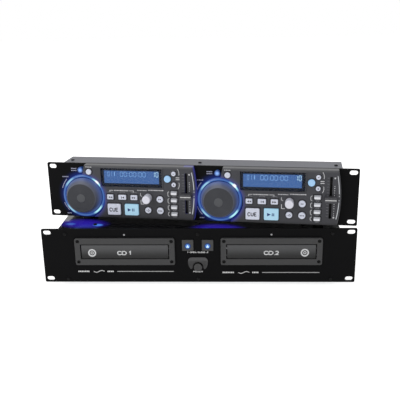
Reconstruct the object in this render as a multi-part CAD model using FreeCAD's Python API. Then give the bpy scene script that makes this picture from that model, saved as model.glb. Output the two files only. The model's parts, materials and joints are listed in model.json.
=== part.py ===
import FreeCAD, Part

import math
import os

from FreeCAD import Placement, Rotation, Vector

# A twin disc player for DJs in two rack units: a drive unit with two disc
# trays, and a controller that stands on its lid, turned a little.  Millimetres.
# The row frame has +X to the right along the drive's front panel, +Y back and
# +Z up, with its origin in the middle of the drive's four rack slots, on the
# rear face of its front panel.
#
# Each unit is drawn in its own unit frame: X from the middle of its front
# panel, Y back from the panel's front face, so that what stands out in front
# has a negative Y, and Z up from the panel's bottom edge.

# Rack front panels, the same on both units (19 inch, two height units)
PANEL_WIDTH = 482.6
PANEL_HEIGHT = 88.1
PANEL_THICK = 3.0
PANEL_CORNER = 2.0
SLOT_PITCH_X = 465.1
SLOT_PITCH_Z = 76.2
SLOT_LENGTH = 12.0
SLOT_WIDTH = 7.0
SHEET = 1.2

# Drive unit: body behind the panel
DRIVE_HALF = 216.5
DRIVE_REAR = 255.0
DRIVE_BOTTOM = 2.0
DRIVE_TOP = 86.0
DRIVE_FOOT_RADIUS = 10.0
DRIVE_FOOT_DROP = 6.0
DRIVE_FOOT_X = 185.0
DRIVE_FOOT_Y = (38.0, 228.0)
LID_SCREW_X = 162.0
LID_SCREW_Y = (26.0, 243.0)
PANEL_SCREWS = ((-204.5, 80.0), (-204.5, 5.0), (0.0, 79.0), (0.0, 5.0), (204.5, 80.0), (204.5, 5.0))

# Drive unit: the two tray bays, drawn about each bay's own middle
BAY_X = 112.6
BEZEL_HALF = 77.4
BEZEL_Z = (29.8, 73.6)
BEZEL_PROUD = 4.0
MOUTH_HALF = 68.8
MOUTH_Z = (39.8, 64.3)
BEZEL_SCREW_X = 72.3
BEZEL_SCREW_Z = (35.4, 69.0)
LAMP_Z = 78.5
LAMP_RADIUS = 1.5
DOOR_HALF = 67.3
DOOR_Z = (40.8, 62.8)
DOOR_FRONT = -3.2
DOOR_BACK = 1.8
TRAY_HALF = 65.0
TRAY_REAR = 181.0
TRAY_Z = (43.8, 52.8)
DISC_Y = 75.0
WELL_RADIUS = 60.8
WELL_FLOOR = 47.3
SMALL_WELL_RADIUS = 41.0
SMALL_WELL_FLOOR = 46.3
TRAY_SLOT_HALF = 17.0
TRAY_SLOT_REAR = 133.0
TRAY_TRAVEL = 138.0

# Tray drive: a rack under the tray and a pinion beside it
TOOTH_MODULE = 1.0
PINION_TEETH = 12
PRESSURE_ANGLE = math.radians(20.0)
TOOTH_THICK = 1.40
PINION_ADDENDUM = 0.8
PINION_DEDENDUM = 1.1
RACK_ADDENDUM = 0.65
RACK_DEDENDUM = 1.05
RACK_PITCH_X = -44.0
RACK_BACK_X = -49.0
RACK_BOTTOM = 40.2
PINION_Y = 33.0
RACK_Y = (22.0, PINION_Y + TRAY_TRAVEL + 9.0)
PINION_Z = (40.2, 43.3)
AXLE_RADIUS = 1.5
RUNNING_GAP = 0.05

# Loader frame that carries one tray, its turntable and its laser
LOADER_HALF = 72.5
LOADER_WALL = 1.5
LOADER_Y = (6.0, 206.0)
LOADER_Z = (18.8, 62.8)
LOADER_FLOOR = 2.0
GUIDE_GAP = 0.3
BRIDGE_HALF = 20.0
PUCK_RADIUS = 15.0
PUCK_Z = (55.8, 58.8)
MOTOR_RADIUS = 11.0
MOTOR_TOP = 30.8
TURNTABLE_RADIUS = 14.0
TURNTABLE_Z = (35.8, 38.3)
SLED_ROD_X = 24.0
SLED_ROD_Z = 31.8
SLED_Y = (88.0, 112.0)
SLED_UP = 3.5
SLED_HALF = 28.0
LENS_TOP = 40.3
ROD_Y = (83.0, 158.0)
ROD_HOLDER = 3.0

# Buttons of the drive unit
EJECT_X = 15.25
EJECT_Z = 61.5
EJECT_SIDE = 17.5
EJECT_LENS_Z = 60.5
EJECT_LENS_RADIUS = 4.4
POWER_Z = 26.0
POWER_RADIUS = 6.5
BUTTON_GAP = 0.35

# Rear of the drive unit: columns of sockets and the mains inlet
PHONO_X = (-50.0, -20.0, 10.0)
PHONO_Z = (24.0, 42.0)
CONTROL_SOCKET_X = (70.0, 100.0)
CONTROL_SOCKET_Z = 33.0
CONTROL_SOCKET_RADIUS = 4.5
INLET_X = -180.0
INLET_Z = 32.0

# Controller: where it stands on the drive's lid, and its body
CONTROLLER_TURN = 6.79
CONTROLLER_X = 0.6
CONTROLLER_Y = 29.9
CONTROLLER_FOOT_DROP = 5.5
CONTROLLER_FOOT_RADIUS = 7.0
CONTROLLER_FOOT_X = 185.0
CONTROLLER_FOOT_Y = (14.0, 38.0)
CONTROLLER_HALF = 217.0
CONTROLLER_REAR = 48.0
CONTROLLER_BOTTOM = 1.6
CONTROLLER_TOP = 86.5
CONTROLLER_SCREW_X = 207.75
CONTROLLER_SCREW_Y = 24.0
REAR_SOCKET_X = 16.0
REAR_SOCKET_Z = 30.0
SOCKET_WINDOW_HALF = 32.0
SOCKET_WINDOW_Z = (12.0, 48.0)
SOCKET_PLATE_MARGIN = 7.0

# Controller: one deck, drawn about the deck's own middle
DECK_X = 108.25
FASCIA_DEPTH = 12.0
FASCIA_WALL = 2.5
FASCIA_SIDE = 1.8
FASCIA_TOP = 88.0
FASCIA_FOOT = 4.0
FASCIA_TOP_LEFT = -68.2
FASCIA_NOTCH_LEFT = -71.5
FASCIA_TOP_RIGHT = 102.5
FASCIA_BULGE = (107.2, 42.0)
FASCIA_FOOT_RIGHT = 103.4
FASCIA_SOFT_EDGE = 1.9
FASCIA_BOSSES = ((-50.0, 82.0), (99.3, 80.0), (99.3, 10.0), (-46.0, 8.5))
JOG_X = -74.0
JOG_Z = 36.3
JOG_NOTCH_RADIUS = 36.8
RING_RADIUS = 34.5
RING_INNER = 30.4
RING_PROUD = 6.2
WHEEL_RADIUS = 29.2
DIAL_RADIUS = 22.6
DIAL_FRONT = 19.5
WHEEL_SKIRT = 4.2
WHEEL_CAP_RADIUS = 6.75
WHEEL_CAP_PROUD = 0.6
SPINDLE_RADIUS = 3.0
DISPLAY_X = (-42.0, 54.8)
DISPLAY_Z = (54.5, 84.0)
DISPLAY_RIM = 1.8
DISPLAY_RIM_PROUD = 1.2
KEY_TRAVEL = 1.2
KEY_STEM_END = 2.8
COLLAR_Y = (-9.2, -8.2)
COLLAR_REACH = 0.9
BOARD_Y = (4.0, 5.6)
BOARD_HALF = 212.0
BOARD_PILLAR_X = (-209.0, -155.0, 0.0, 60.0, 209.0)
PANEL_WINDOW_X = (-40.0, 98.0)
PANEL_WINDOW_Z = (7.5, 84.5)

# Keys of one deck: middle X and Z, width, height, and how far they stand out
CUE_KEY = (-22.8, 18.2, 21.0, 17.8, 3.2)
PLAY_KEY = (5.2, 18.3, 21.7, 17.8, 3.2)
TRACK_KEYS = ((-28.3, 38.1, 10.0, 7.8, 2.6), (-9.0, 38.1, 12.4, 7.8, 2.6), (9.7, 38.1, 10.8, 7.8, 2.6))
LOOP_KEYS = tuple((73.2, height, 10.0, 6.0, 2.4) for height in (47.0, 35.5, 24.3, 13.3))

# Round buttons of one deck: middle X and Z, diameter, and how far they stand out
PLAY_MODE_BUTTON = (-60.8, 77.6, 8.8, 2.6)
TAP_BUTTON = (31.8, 18.2, 9.7, 2.8)
MODE_BUTTONS = ((50.8, 36.4, 10.3, 2.8), (50.9, 18.0, 10.5, 2.8))
PITCH_BUTTON = (63.5, 69.0, 10.3, 3.0)
BEND_BUTTONS = ((73.3, 77.6, 7.0, 2.6), (73.3, 60.3, 7.0, 2.6))
TRAY_BUTTON = (-77.3, 78.0, 9.0, 6.0)
TRAY_BUTTON_SKIRT = 2.4

# Track knob and pitch fader of one deck
KNOB = (32.05, 38.6)
KNOB_RADIUS = 6.4
KNOB_FRONT = 27.5
KNOB_BACK = 12.8
FADER_X = 92.0
FADER_MIDDLE = 46.25
FADER_TRAVEL = 30.0
FADER_SLOT = 2 * FADER_TRAVEL + 4.5
FADER_BODY = 74.0
FADER_SLOT_WIDTH = 4.0
FADER_REST = {"left": -3.2, "right": -1.4}
FADER_CAP = (17.0, 8.0)
FADER_CAP_Y = (-22.0, -12.7)
GRIP_RADIUS = 9.0
GRIP_DEPTH = 1.2
TRIM_ARC = ((101.0, 80.0), (104.2, 44.0), (100.9, 13.5))
TRIM_SPANS = ((52.5, 80.0), (48.3, 50.1), (41.8, 43.4), (13.5, 39.6))
TRIM_WIDTH = 1.2
TRIM_PROUD = 0.4


# ---------------------------------------------------------------- shared shapes

def block(x0, x1, y0, y1, z0, z1):
    """A plain box between two corners."""
    return Part.makeBox(x1 - x0, y1 - y0, z1 - z0, Vector(x0, y0, z0))


def rod(x, z, radius, y0, y1):
    """A cylinder that runs back along Y."""
    return Part.makeCylinder(radius, y1 - y0, Vector(x, y0, z), Vector(0, 1, 0))


def post(x, y, radius, z0, z1):
    """A cylinder that stands up along Z."""
    return Part.makeCylinder(radius, z1 - z0, Vector(x, y, z0))


def plate(x0, x1, z0, z1, y0, y1, corner=0.0):
    """A panel seen from the front, from y0 to y1, with rounded corners."""
    shape = block(x0, x1, y0, y1, z0, z1)
    if corner == 0.0:
        return shape
    sides = [edge for edge in shape.Edges if abs(edge.tangentAt(edge.FirstParameter).y) > 0.9]
    return shape.makeFillet(corner, sides)


def soften_front(shape, y_front, radius):
    """Round the edges that lie in the front plane y_front."""
    rim = [edge for edge in shape.Edges if all(abs(v.Point.y - y_front) < 1e-6 for v in edge.Vertexes)]
    return shape.makeFillet(radius, rim)


def obround(x, z, length, width, y0, y1):
    """A slot with round ends, long in X, as a solid to cut with."""
    straight = (length - width) / 2
    middle = block(x - straight, x + straight, y0, y1, z - width / 2, z + width / 2)
    ends = [rod(x + side * straight, z, width / 2, y0, y1) for side in (-1, 1)]
    return middle.fuse(ends).removeSplitter()


def turned(points, x, z):
    """A solid of revolution about the Y axis through (x, z), from (radius, y) points."""
    corners = [Vector(radius, y, 0) for radius, y in points]
    face = Part.Face(Part.makePolygon(corners + corners[:1]))
    solid = face.revolve(Vector(0, 0, 0), Vector(0, 1, 0), 360)
    return solid.translate(Vector(x, 0, z))


def shifted(shapes, x):
    """Copies of shapes, moved along X."""
    return [shape.translated(Vector(x, 0, 0)) for shape in shapes]


def on_both_sides(make, x):
    """What make() returns, once at -x and once at +x."""
    return shifted(make(), -x) + shifted(make(), x)


def rack_panel():
    """The slotted front panel that both units share."""
    panel = plate(-PANEL_WIDTH / 2, PANEL_WIDTH / 2, 0, PANEL_HEIGHT, 0, PANEL_THICK, PANEL_CORNER)
    slots = []
    for side in (-1, 1):
        for level in (-1, 1):
            x = side * SLOT_PITCH_X / 2
            z = PANEL_HEIGHT / 2 + level * SLOT_PITCH_Z / 2
            slots.append(obround(x, z, SLOT_LENGTH, SLOT_WIDTH, -1, PANEL_THICK + 1))
    return panel.cut(slots)


def screw_head(x, z, radius, y_face, height):
    """A pan head that stands in front of the face y_face, with a cross recess."""
    head = soften_front(rod(x, z, radius, y_face - height, y_face), y_face - height, height * 0.55)
    reach = radius * 0.6
    depth = y_face - height * 0.45
    wide = block(x - reach, x + reach, y_face - height - 1, depth, z - 0.35, z + 0.35)
    tall = block(x - 0.35, x + 0.35, y_face - height - 1, depth, z - reach, z + reach)
    return head.cut([wide, tall])


def lid_screw(x, y, radius, z_face, height):
    """The same pan head, standing on the level face z_face."""
    head = screw_head(0, 0, radius, 0, height)
    head.rotate(Vector(0, 0, 0), Vector(1, 0, 0), -90)
    return head.translate(Vector(x, y, z_face))


def din_socket(x, z, y_front, y_back):
    """A round control socket that looks back out of a rear wall at y_back."""
    body = block(x - 7, x + 7, y_front, y_back - SHEET, z - 7, z + 7)
    nose = rod(x, z, 6.4, y_back - SHEET, y_back + 0.6)
    cavity = rod(x, z, CONTROL_SOCKET_RADIUS, y_back - 8, y_back + 1)
    return body.fuse(nose).cut(cavity)


# ------------------------------------------------------------------ drive unit

def drive_front_panel():
    """Front panel of the drive unit, open for trays, buttons and lamps."""
    cuts = []
    for side in (-1, 1):
        x = side * BAY_X
        cuts.append(plate(x - MOUTH_HALF - 1, x + MOUTH_HALF + 1, MOUTH_Z[0] - 1, MOUTH_Z[1] + 1, -1, 4))
        cuts.append(rod(x, LAMP_Z, LAMP_RADIUS, -1, 4))
        middle = side * EJECT_X
        reach = EJECT_SIDE / 2 + BUTTON_GAP
        cuts.append(plate(middle - reach, middle + reach, EJECT_Z - reach, EJECT_Z + reach, -1, 4, 1))
    cuts.append(rod(0, POWER_Z, POWER_RADIUS + BUTTON_GAP, -1, 4))
    return [rack_panel().cut(cuts)]


def drive_chassis():
    """Folded steel pan: floor, front and rear walls and low side flanges."""
    half = DRIVE_HALF - SHEET
    floor = DRIVE_BOTTOM + SHEET
    roof = DRIVE_TOP - SHEET
    front = block(-half, half, PANEL_THICK, PANEL_THICK + SHEET, floor, roof)
    windows = [block(-36, 36, 0, 10, 12, 74)]
    for side in (-1, 1):
        x = side * BAY_X
        windows.append(block(x - 74, x + 74, 0, 10, 14, 66))
        windows.append(rod(x, LAMP_Z, 2.4, 0, 10))
    rear = block(-half, half, DRIVE_REAR - SHEET, DRIVE_REAR, floor, roof)
    holes = [rod(x, z, 4.3, 250, 260) for x in PHONO_X for z in PHONO_Z]
    holes += [rod(x, CONTROL_SOCKET_Z, 6.5, 250, 260) for x in CONTROL_SOCKET_X]
    holes.append(block(INLET_X - 13.6, INLET_X + 13.6, 250, 260, INLET_Z - 10.1, INLET_Z + 10.1))
    pan = block(-half, half, PANEL_THICK, DRIVE_REAR, DRIVE_BOTTOM, floor)
    pan = pan.fuse([front.cut(windows), rear.cut(holes)])
    for side in (-1, 1):
        inner, outer = sorted((side * (half - SHEET), side * half))
        pan = pan.fuse(block(inner, outer, PANEL_THICK, DRIVE_REAR, floor, 14))
    return [pan.removeSplitter()]


def drive_cover():
    """Lid and sides in one bent sheet, with air slots at the back of each side."""
    inner = DRIVE_HALF - SHEET
    lid = block(-DRIVE_HALF, DRIVE_HALF, PANEL_THICK, DRIVE_REAR, DRIVE_TOP - SHEET, DRIVE_TOP)
    parts = []
    for side in (-1, 1):
        x0, x1 = sorted((side * inner, side * DRIVE_HALF))
        wall = block(x0, x1, PANEL_THICK, DRIVE_REAR, DRIVE_BOTTOM, DRIVE_TOP - SHEET)
        gaps = []
        for row in range(6):
            z = 34 + row * 6.5
            gaps.append(block(x0 - 1, x1 + 1, 150, 225, z, z + 2.5))
        parts.append(wall.cut(gaps))
    return [lid.fuse(parts).removeSplitter()]


def tray_bezel():
    """Moulded frame round one tray's mouth, with four sunk screws' seats."""
    frame = plate(-BEZEL_HALF, BEZEL_HALF, BEZEL_Z[0], BEZEL_Z[1], -BEZEL_PROUD, 0, 3.2)
    frame = soften_front(frame, -BEZEL_PROUD, 1.0)
    cuts = [plate(-MOUTH_HALF, MOUTH_HALF, MOUTH_Z[0], MOUTH_Z[1], -9, 1, 1.0)]
    for side in (-1, 1):
        for z in BEZEL_SCREW_Z:
            cuts.append(rod(side * BEZEL_SCREW_X, z, 2.8, -9, -1.6))
    return [frame.cut(cuts)]


def power_surround():
    """Winged trim plate above the power button, notched round it."""
    top = Part.LineSegment(Vector(-10.5, 0, 41.5), Vector(10.5, 0, 41.5)).toShape()
    shoulder = Part.Arc(Vector(10.5, 0, 41.5), Vector(14.2, 0, 38.8), Vector(15.2, 0, 33.5)).toShape()
    flank = Part.Arc(Vector(15.2, 0, 33.5), Vector(14.2, 0, 27.4), Vector(11.4, 0, 22.6)).toShape()
    foot = Part.LineSegment(Vector(11.4, 0, 22.6), Vector(-11.4, 0, 22.6)).toShape()
    mirrored = [edge.mirror(Vector(0, 0, 0), Vector(1, 0, 0)) for edge in (flank, shoulder)]
    wire = Part.Wire(Part.__sortEdges__([top, shoulder, flank, foot] + mirrored))
    plate_solid = Part.Face(wire).extrude(Vector(0, -1.6, 0))
    throat = [Vector(-7.6, 1, 26), Vector(7.6, 1, 26), Vector(9.6, 1, 22), Vector(-9.6, 1, 22)]
    wedge = Part.Face(Part.makePolygon(throat + throat[:1])).extrude(Vector(0, -9, 0))
    return [plate_solid.cut([rod(0, POWER_Z, 7.8, -9, 1), wedge])]


def drive_screws():
    """Screws of the front panel, the bezels and the lid."""
    heads = [screw_head(x, z, 2.6, 0, 1.4) for x, z in PANEL_SCREWS]
    for bay in (-BAY_X, BAY_X):
        for side in (-1, 1):
            for z in BEZEL_SCREW_Z:
                heads.append(screw_head(bay + side * BEZEL_SCREW_X, z, 2.4, -1.6, 1.7))
    for x in (-LID_SCREW_X, 0, LID_SCREW_X):
        for y in LID_SCREW_Y:
            heads.append(lid_screw(x, y, 3.0, DRIVE_TOP, 1.8))
    return heads


def drive_feet():
    """Four rubber feet under the pan."""
    feet = []
    height = DRIVE_BOTTOM + DRIVE_FOOT_DROP
    for x in (-DRIVE_FOOT_X, DRIVE_FOOT_X):
        for y in DRIVE_FOOT_Y:
            base = Vector(x, y, -DRIVE_FOOT_DROP)
            feet.append(Part.makeCone(DRIVE_FOOT_RADIUS - 1.5, DRIVE_FOOT_RADIUS, height, base))
    return feet


def phono_pair(x):
    """Two phono sockets on one moulded block, one above the other."""
    parts = []
    middle = sum(PHONO_Z) / 2
    parts.append(block(x - 6, x + 6, DRIVE_REAR - 13, DRIVE_REAR - SHEET, middle - 17, middle + 17))
    for z in PHONO_Z:
        barrel = rod(x, z, 4.15, DRIVE_REAR - SHEET, DRIVE_REAR + 8)
        parts.append(barrel.cut(rod(x, z, 1.65, DRIVE_REAR, DRIVE_REAR + 9)))
    return parts[0].fuse(parts[1:]).removeSplitter()


def rear_sockets():
    """Phono outputs of both decks and the two round control sockets."""
    sockets = [phono_pair(x) for x in PHONO_X]
    sockets += [din_socket(x, CONTROL_SOCKET_Z, DRIVE_REAR - 14, DRIVE_REAR) for x in CONTROL_SOCKET_X]
    return sockets


def mains_inlet():
    """Three-pin mains inlet, a moulded cup with its blades."""
    x, z = INLET_X, INLET_Z
    cup = plate(x - 13.5, x + 13.5, z - 10, z + 10, DRIVE_REAR - 24, DRIVE_REAR, 2)
    flange = plate(x - 17, x + 17, z - 13, z + 13, DRIVE_REAR, DRIVE_REAR + 2, 3)
    cavity = plate(x - 12.2, x + 12.2, z - 8.3, z + 8.3, DRIVE_REAR - 15, DRIVE_REAR + 3, 2)
    body = cup.fuse(flange).cut(cavity)
    blades = []
    for dx, dz in ((-7.0, -2.0), (0.0, 2.0), (7.0, -2.0)):
        low, high = z + dz - 2, z + dz + 2
        blades.append(block(x + dx - 1, x + dx + 1, DRIVE_REAR - 15, DRIVE_REAR - 3.5, low, high))
    return [body.removeSplitter()] + blades


def loader_frame():
    """Sheet frame of one loader: floor, walls, tray guides, bridge, motor and rods."""
    y0, y1 = LOADER_Y
    z0, z1 = LOADER_Z
    deck = z0 + LOADER_FLOOR
    pieces = []
    for side in (-1, 1):
        wall = sorted((side * LOADER_HALF, side * (LOADER_HALF - LOADER_WALL)))
        ledge = sorted((side * (LOADER_HALF - LOADER_WALL), side * (TRAY_HALF - 3)))
        pieces.append(block(wall[0], wall[1], y0, y1, deck, z1))
        pieces.append(block(ledge[0], ledge[1], y0, y1, TRAY_Z[0] - 3, TRAY_Z[0] - GUIDE_GAP))
        pieces.append(block(ledge[0], ledge[1], y0, y1, TRAY_Z[1] + GUIDE_GAP, TRAY_Z[1] + 2))
    pieces.append(block(-LOADER_HALF, LOADER_HALF, y1 - LOADER_WALL, y1, deck, z1))
    bridge_y = (DISC_Y - BRIDGE_HALF, DISC_Y + BRIDGE_HALF)
    pieces.append(block(-LOADER_HALF, LOADER_HALF, bridge_y[0], bridge_y[1], z1, z1 + LOADER_WALL))
    pieces.append(post(0, DISC_Y, 6, PUCK_Z[1], z1))
    pieces.append(post(0, DISC_Y, PUCK_RADIUS, PUCK_Z[0], PUCK_Z[1]))
    pieces.append(post(0, DISC_Y, MOTOR_RADIUS, deck, MOTOR_TOP))
    pieces.append(post(0, DISC_Y, AXLE_RADIUS, MOTOR_TOP, MOTOR_TOP + 10.5))
    pinion_x = RACK_PITCH_X + TOOTH_MODULE * PINION_TEETH / 2
    pieces.append(post(pinion_x, PINION_Y, 3.5, deck, PINION_Z[0] - 0.2))
    pieces.append(post(pinion_x, PINION_Y, AXLE_RADIUS, PINION_Z[0] - 0.2, PINION_Z[1] + 0.2))
    for x in (-SLED_ROD_X, SLED_ROD_X):
        for y in (ROD_Y[0] - ROD_HOLDER, ROD_Y[1]):
            pieces.append(block(x - 3, x + 3, y, y + ROD_HOLDER, deck, SLED_ROD_Z + 3))
        pieces.append(rod(x, SLED_ROD_Z, AXLE_RADIUS, ROD_Y[0], ROD_Y[1]))
    for x in (-60, 60):
        for y in (30, 190):
            pieces.append(post(x, y, 4, DRIVE_BOTTOM + SHEET, z0))
    floor = block(-LOADER_HALF, LOADER_HALF, y0, y1, z0, deck)
    return [floor.fuse(pieces).removeSplitter()]


def power_transformer():
    """Mains transformer between the loaders: bracket, iron core and winding."""
    bracket = block(-38, 38, 138, 167, DRIVE_BOTTOM + SHEET, 8)
    core = block(-30, 30, 135, 170, 8, 52)
    winding = plate(-21, 21, 14, 46, 124, 181, 6)
    return [bracket, core.cut(winding), winding]


def drive_board():
    """Rear circuit board on pillars, front switch board, and the two disc lamps."""
    parts = [block(-200, 200, 212, 240, 12, 13.6)]
    for x in (-190, -70, 70, 190):
        parts.append(post(x, 226, 3, DRIVE_BOTTOM + SHEET, 12))
    for x in (-150, -128, 125, 147):
        parts.append(post(x, 226, 8, 13.6, 38))
    parts.append(block(-33, 33, 15, 16.6, 13, 73))
    parts.append(block(-33, 33, 16.6, 24, DRIVE_BOTTOM + SHEET, 16))
    for x, z, plunger in ((-EJECT_X, EJECT_Z, 10.8), (EJECT_X, EJECT_Z, 10.8), (0, POWER_Z, 11.6)):
        switch = block(x - 4, x + 4, 12.2, 15, z - 4, z + 4)
        parts.append(switch.fuse(rod(x, z, 2, plunger, 12.2)))
    for x in (-BAY_X, BAY_X):
        lamp = soften_front(rod(x, LAMP_Z, LAMP_RADIUS, -1.0, 3.0), -1.0, 1.0)
        parts.append(lamp.fuse(rod(x, LAMP_Z, 2.0, PANEL_THICK, 7.0)))
    return parts


def involute_half_angle(radius):
    """Half the angle that a pinion tooth fills at a radius."""
    pitch_radius = TOOTH_MODULE * PINION_TEETH / 2
    base_radius = pitch_radius * math.cos(PRESSURE_ANGLE)
    lean = math.acos(min(1.0, base_radius / radius))
    at_pitch = math.tan(PRESSURE_ANGLE) - PRESSURE_ANGLE
    return TOOTH_THICK / 2 / pitch_radius + at_pitch - (math.tan(lean) - lean)


def tray_pinion():
    """Spur pinion on its axle, with a tooth facing the rack."""
    pitch_radius = TOOTH_MODULE * PINION_TEETH / 2
    base = pitch_radius * math.cos(PRESSURE_ANGLE)
    tip = pitch_radius + PINION_ADDENDUM
    root = pitch_radius - PINION_DEDENDUM
    middle = (base + tip) / 2

    def at(radius, angle):
        return Vector(radius * math.cos(angle), radius * math.sin(angle), 0)

    def arc(*points):
        return Part.Arc(*points).toShape()

    step = 2 * math.pi / PINION_TEETH
    low, half, high = (involute_half_angle(radius) for radius in (base, middle, tip))
    edges = []
    for tooth in range(PINION_TEETH):
        turn = math.pi + tooth * step
        edges.append(Part.makeLine(at(root, turn - low), at(base, turn - low)))
        edges.append(arc(at(base, turn - low), at(middle, turn - half), at(tip, turn - high)))
        edges.append(arc(at(tip, turn - high), at(tip, turn), at(tip, turn + high)))
        edges.append(arc(at(tip, turn + high), at(middle, turn + half), at(base, turn + low)))
        edges.append(Part.makeLine(at(base, turn + low), at(root, turn + low)))
        edges.append(arc(at(root, turn + low), at(root, turn + step / 2), at(root, turn + step - low)))
    toothed = Part.Face(Part.Wire(edges)).extrude(Vector(0, 0, PINION_Z[1] - PINION_Z[0]))
    bored = toothed.cut(post(0, 0, AXLE_RADIUS + RUNNING_GAP, -1, 9))
    return [bored.translate(Vector(RACK_PITCH_X + pitch_radius, PINION_Y, PINION_Z[0]))]


def tray_rack():
    """Toothed strip under the tray, with a gap facing the pinion."""
    pitch = math.pi * TOOTH_MODULE
    slope = math.tan(PRESSURE_ANGLE)
    tip_x = RACK_PITCH_X + RACK_ADDENDUM
    root_x = RACK_PITCH_X - RACK_DEDENDUM
    tip_half = TOOTH_THICK / 2 - RACK_ADDENDUM * slope
    root_half = TOOTH_THICK / 2 + RACK_DEDENDUM * slope
    first = math.ceil((RACK_Y[0] + root_half - PINION_Y) / pitch - 0.5)
    last = math.floor((RACK_Y[1] - root_half - PINION_Y) / pitch - 0.5)
    outline = [Vector(RACK_BACK_X, RACK_Y[0], 0), Vector(root_x, RACK_Y[0], 0)]
    for tooth in range(first, last + 1):
        y = PINION_Y + (tooth + 0.5) * pitch
        outline.append(Vector(root_x, y - root_half, 0))
        outline.append(Vector(tip_x, y - tip_half, 0))
        outline.append(Vector(tip_x, y + tip_half, 0))
        outline.append(Vector(root_x, y + root_half, 0))
    outline += [Vector(root_x, RACK_Y[1], 0), Vector(RACK_BACK_X, RACK_Y[1], 0)]
    face = Part.Face(Part.makePolygon(outline + outline[:1]))
    return face.extrude(Vector(0, 0, TRAY_Z[0] + 0.5 - RACK_BOTTOM)).translate(Vector(0, 0, RACK_BOTTOM))


def disc_tray():
    """Disc tray with its door, two stepped wells, laser slot and rack."""
    door = plate(-DOOR_HALF, DOOR_HALF, DOOR_Z[0], DOOR_Z[1], DOOR_FRONT, DOOR_BACK, 0.8)
    door = soften_front(door, DOOR_FRONT, 0.5)
    body = block(-TRAY_HALF, TRAY_HALF, DOOR_BACK, TRAY_REAR, TRAY_Z[0], TRAY_Z[1])
    cuts = [post(0, DISC_Y, WELL_RADIUS, WELL_FLOOR, 60)]
    cuts.append(post(0, DISC_Y, SMALL_WELL_RADIUS, SMALL_WELL_FLOOR, 60))
    cuts.append(post(0, DISC_Y, 20, 30, 60))
    cuts.append(block(-TRAY_SLOT_HALF, TRAY_SLOT_HALF, DISC_Y, TRAY_SLOT_REAR, 30, 60))
    cuts.append(block(-36, 58, 141, 176, 30, TRAY_Z[1] - 2))
    return [door.fuse([body.cut(cuts), tray_rack()]).removeSplitter()]


def turntable():
    """Spindle hub that centres and drives the disc."""
    low, high = TURNTABLE_Z
    boss = post(0, DISC_Y, 5, MOTOR_TOP + 1, low)
    table = post(0, DISC_Y, TURNTABLE_RADIUS, low, high)
    nose = Part.makeCone(7.3, 6.2, 4.0, Vector(0, DISC_Y, high))
    bore = post(0, DISC_Y, AXLE_RADIUS + RUNNING_GAP, MOTOR_TOP, MOTOR_TOP + 10.8)
    return [boss.fuse([table, nose]).cut(bore).removeSplitter()]


def laser_sled():
    """Laser carriage on its two guide rods, with its lens turret."""
    middle = sum(SLED_Y) / 2
    top = SLED_ROD_Z + SLED_UP
    body = block(-SLED_HALF, SLED_HALF, SLED_Y[0], SLED_Y[1], SLED_ROD_Z - SLED_UP, top)
    turret = post(0, middle, 4, top, LENS_TOP)
    bore = AXLE_RADIUS + RUNNING_GAP
    bores = [rod(x, SLED_ROD_Z, bore, ROD_Y[0], ROD_Y[1]) for x in (-SLED_ROD_X, SLED_ROD_X)]
    return [body.fuse(turret).cut(bores)]


def eject_button():
    """Square eject button with a round lens let into it."""
    reach = EJECT_SIDE / 2
    cap = plate(-reach, reach, EJECT_Z - reach, EJECT_Z + reach, -2.0, 5.0, 0.8)
    cap = soften_front(cap, -2.0, 0.5)
    collar = plate(-reach - 1.2, reach + 1.2, EJECT_Z - reach - 1.2, EJECT_Z + reach + 1.2, 3.5, 5.0, 1)
    stem = rod(0, EJECT_Z, 3, 5.0, 9.4)
    cap = cap.fuse([collar, stem]).cut(rod(0, EJECT_LENS_Z, EJECT_LENS_RADIUS + 0.3, -3, -0.6))
    lens = soften_front(rod(0, EJECT_LENS_Z, EJECT_LENS_RADIUS, -2.2, -0.6), -2.2, 0.6)
    return [cap.removeSplitter(), lens]


def power_button():
    """Round push button with a collar behind the panel."""
    cap = soften_front(rod(0, POWER_Z, POWER_RADIUS, -5.0, 5.0), -5.0, 0.9)
    collar = rod(0, POWER_Z, POWER_RADIUS + 2, 3.5, 5.0)
    return [cap.fuse([collar, rod(0, POWER_Z, 3, 5.0, 9.4)]).removeSplitter()]


# ------------------------------------------------------------------ controller

def controller_panel():
    """Front panel of the controller, with a window behind each fascia."""
    cuts = []
    for deck in (-DECK_X, DECK_X):
        x0, x1 = (deck + x for x in PANEL_WINDOW_X)
        cuts.append(plate(x0, x1, PANEL_WINDOW_Z[0], PANEL_WINDOW_Z[1], -1, 4, 3))
        cuts.append(rod(deck + JOG_X, JOG_Z, 11, -1, 4))
        cuts.append(rod(deck + TRAY_BUTTON[0], TRAY_BUTTON[1], TRAY_BUTTON[2] / 2 + BUTTON_GAP, -1, 4))
        cuts.append(rod(deck + PLAY_MODE_BUTTON[0], PLAY_MODE_BUTTON[1], 4.6, -1, 4))
    return [rack_panel().cut(cuts)]


def socket_plate():
    """Plate riveted over the window in the controller's back, with a hole for each socket."""
    half = SOCKET_WINDOW_HALF + SOCKET_PLATE_MARGIN
    low, high = SOCKET_WINDOW_Z[0] - SOCKET_PLATE_MARGIN, SOCKET_WINDOW_Z[1] + SOCKET_PLATE_MARGIN
    back = CONTROLLER_REAR + SHEET
    sheet = plate(-half, half, low, high, CONTROLLER_REAR, back, 2)
    rivets = []
    for x in (-half + SOCKET_PLATE_MARGIN / 2, half - SOCKET_PLATE_MARGIN / 2):
        rivets += [rod(x, z, 1.8, back, back + 0.7) for z in (low + 4, high - 4)]
    holes = [rod(x, REAR_SOCKET_Z, 6.5, 40, 60) for x in (-REAR_SOCKET_X, REAR_SOCKET_X)]
    return sheet.fuse(rivets).cut(holes)


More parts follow.
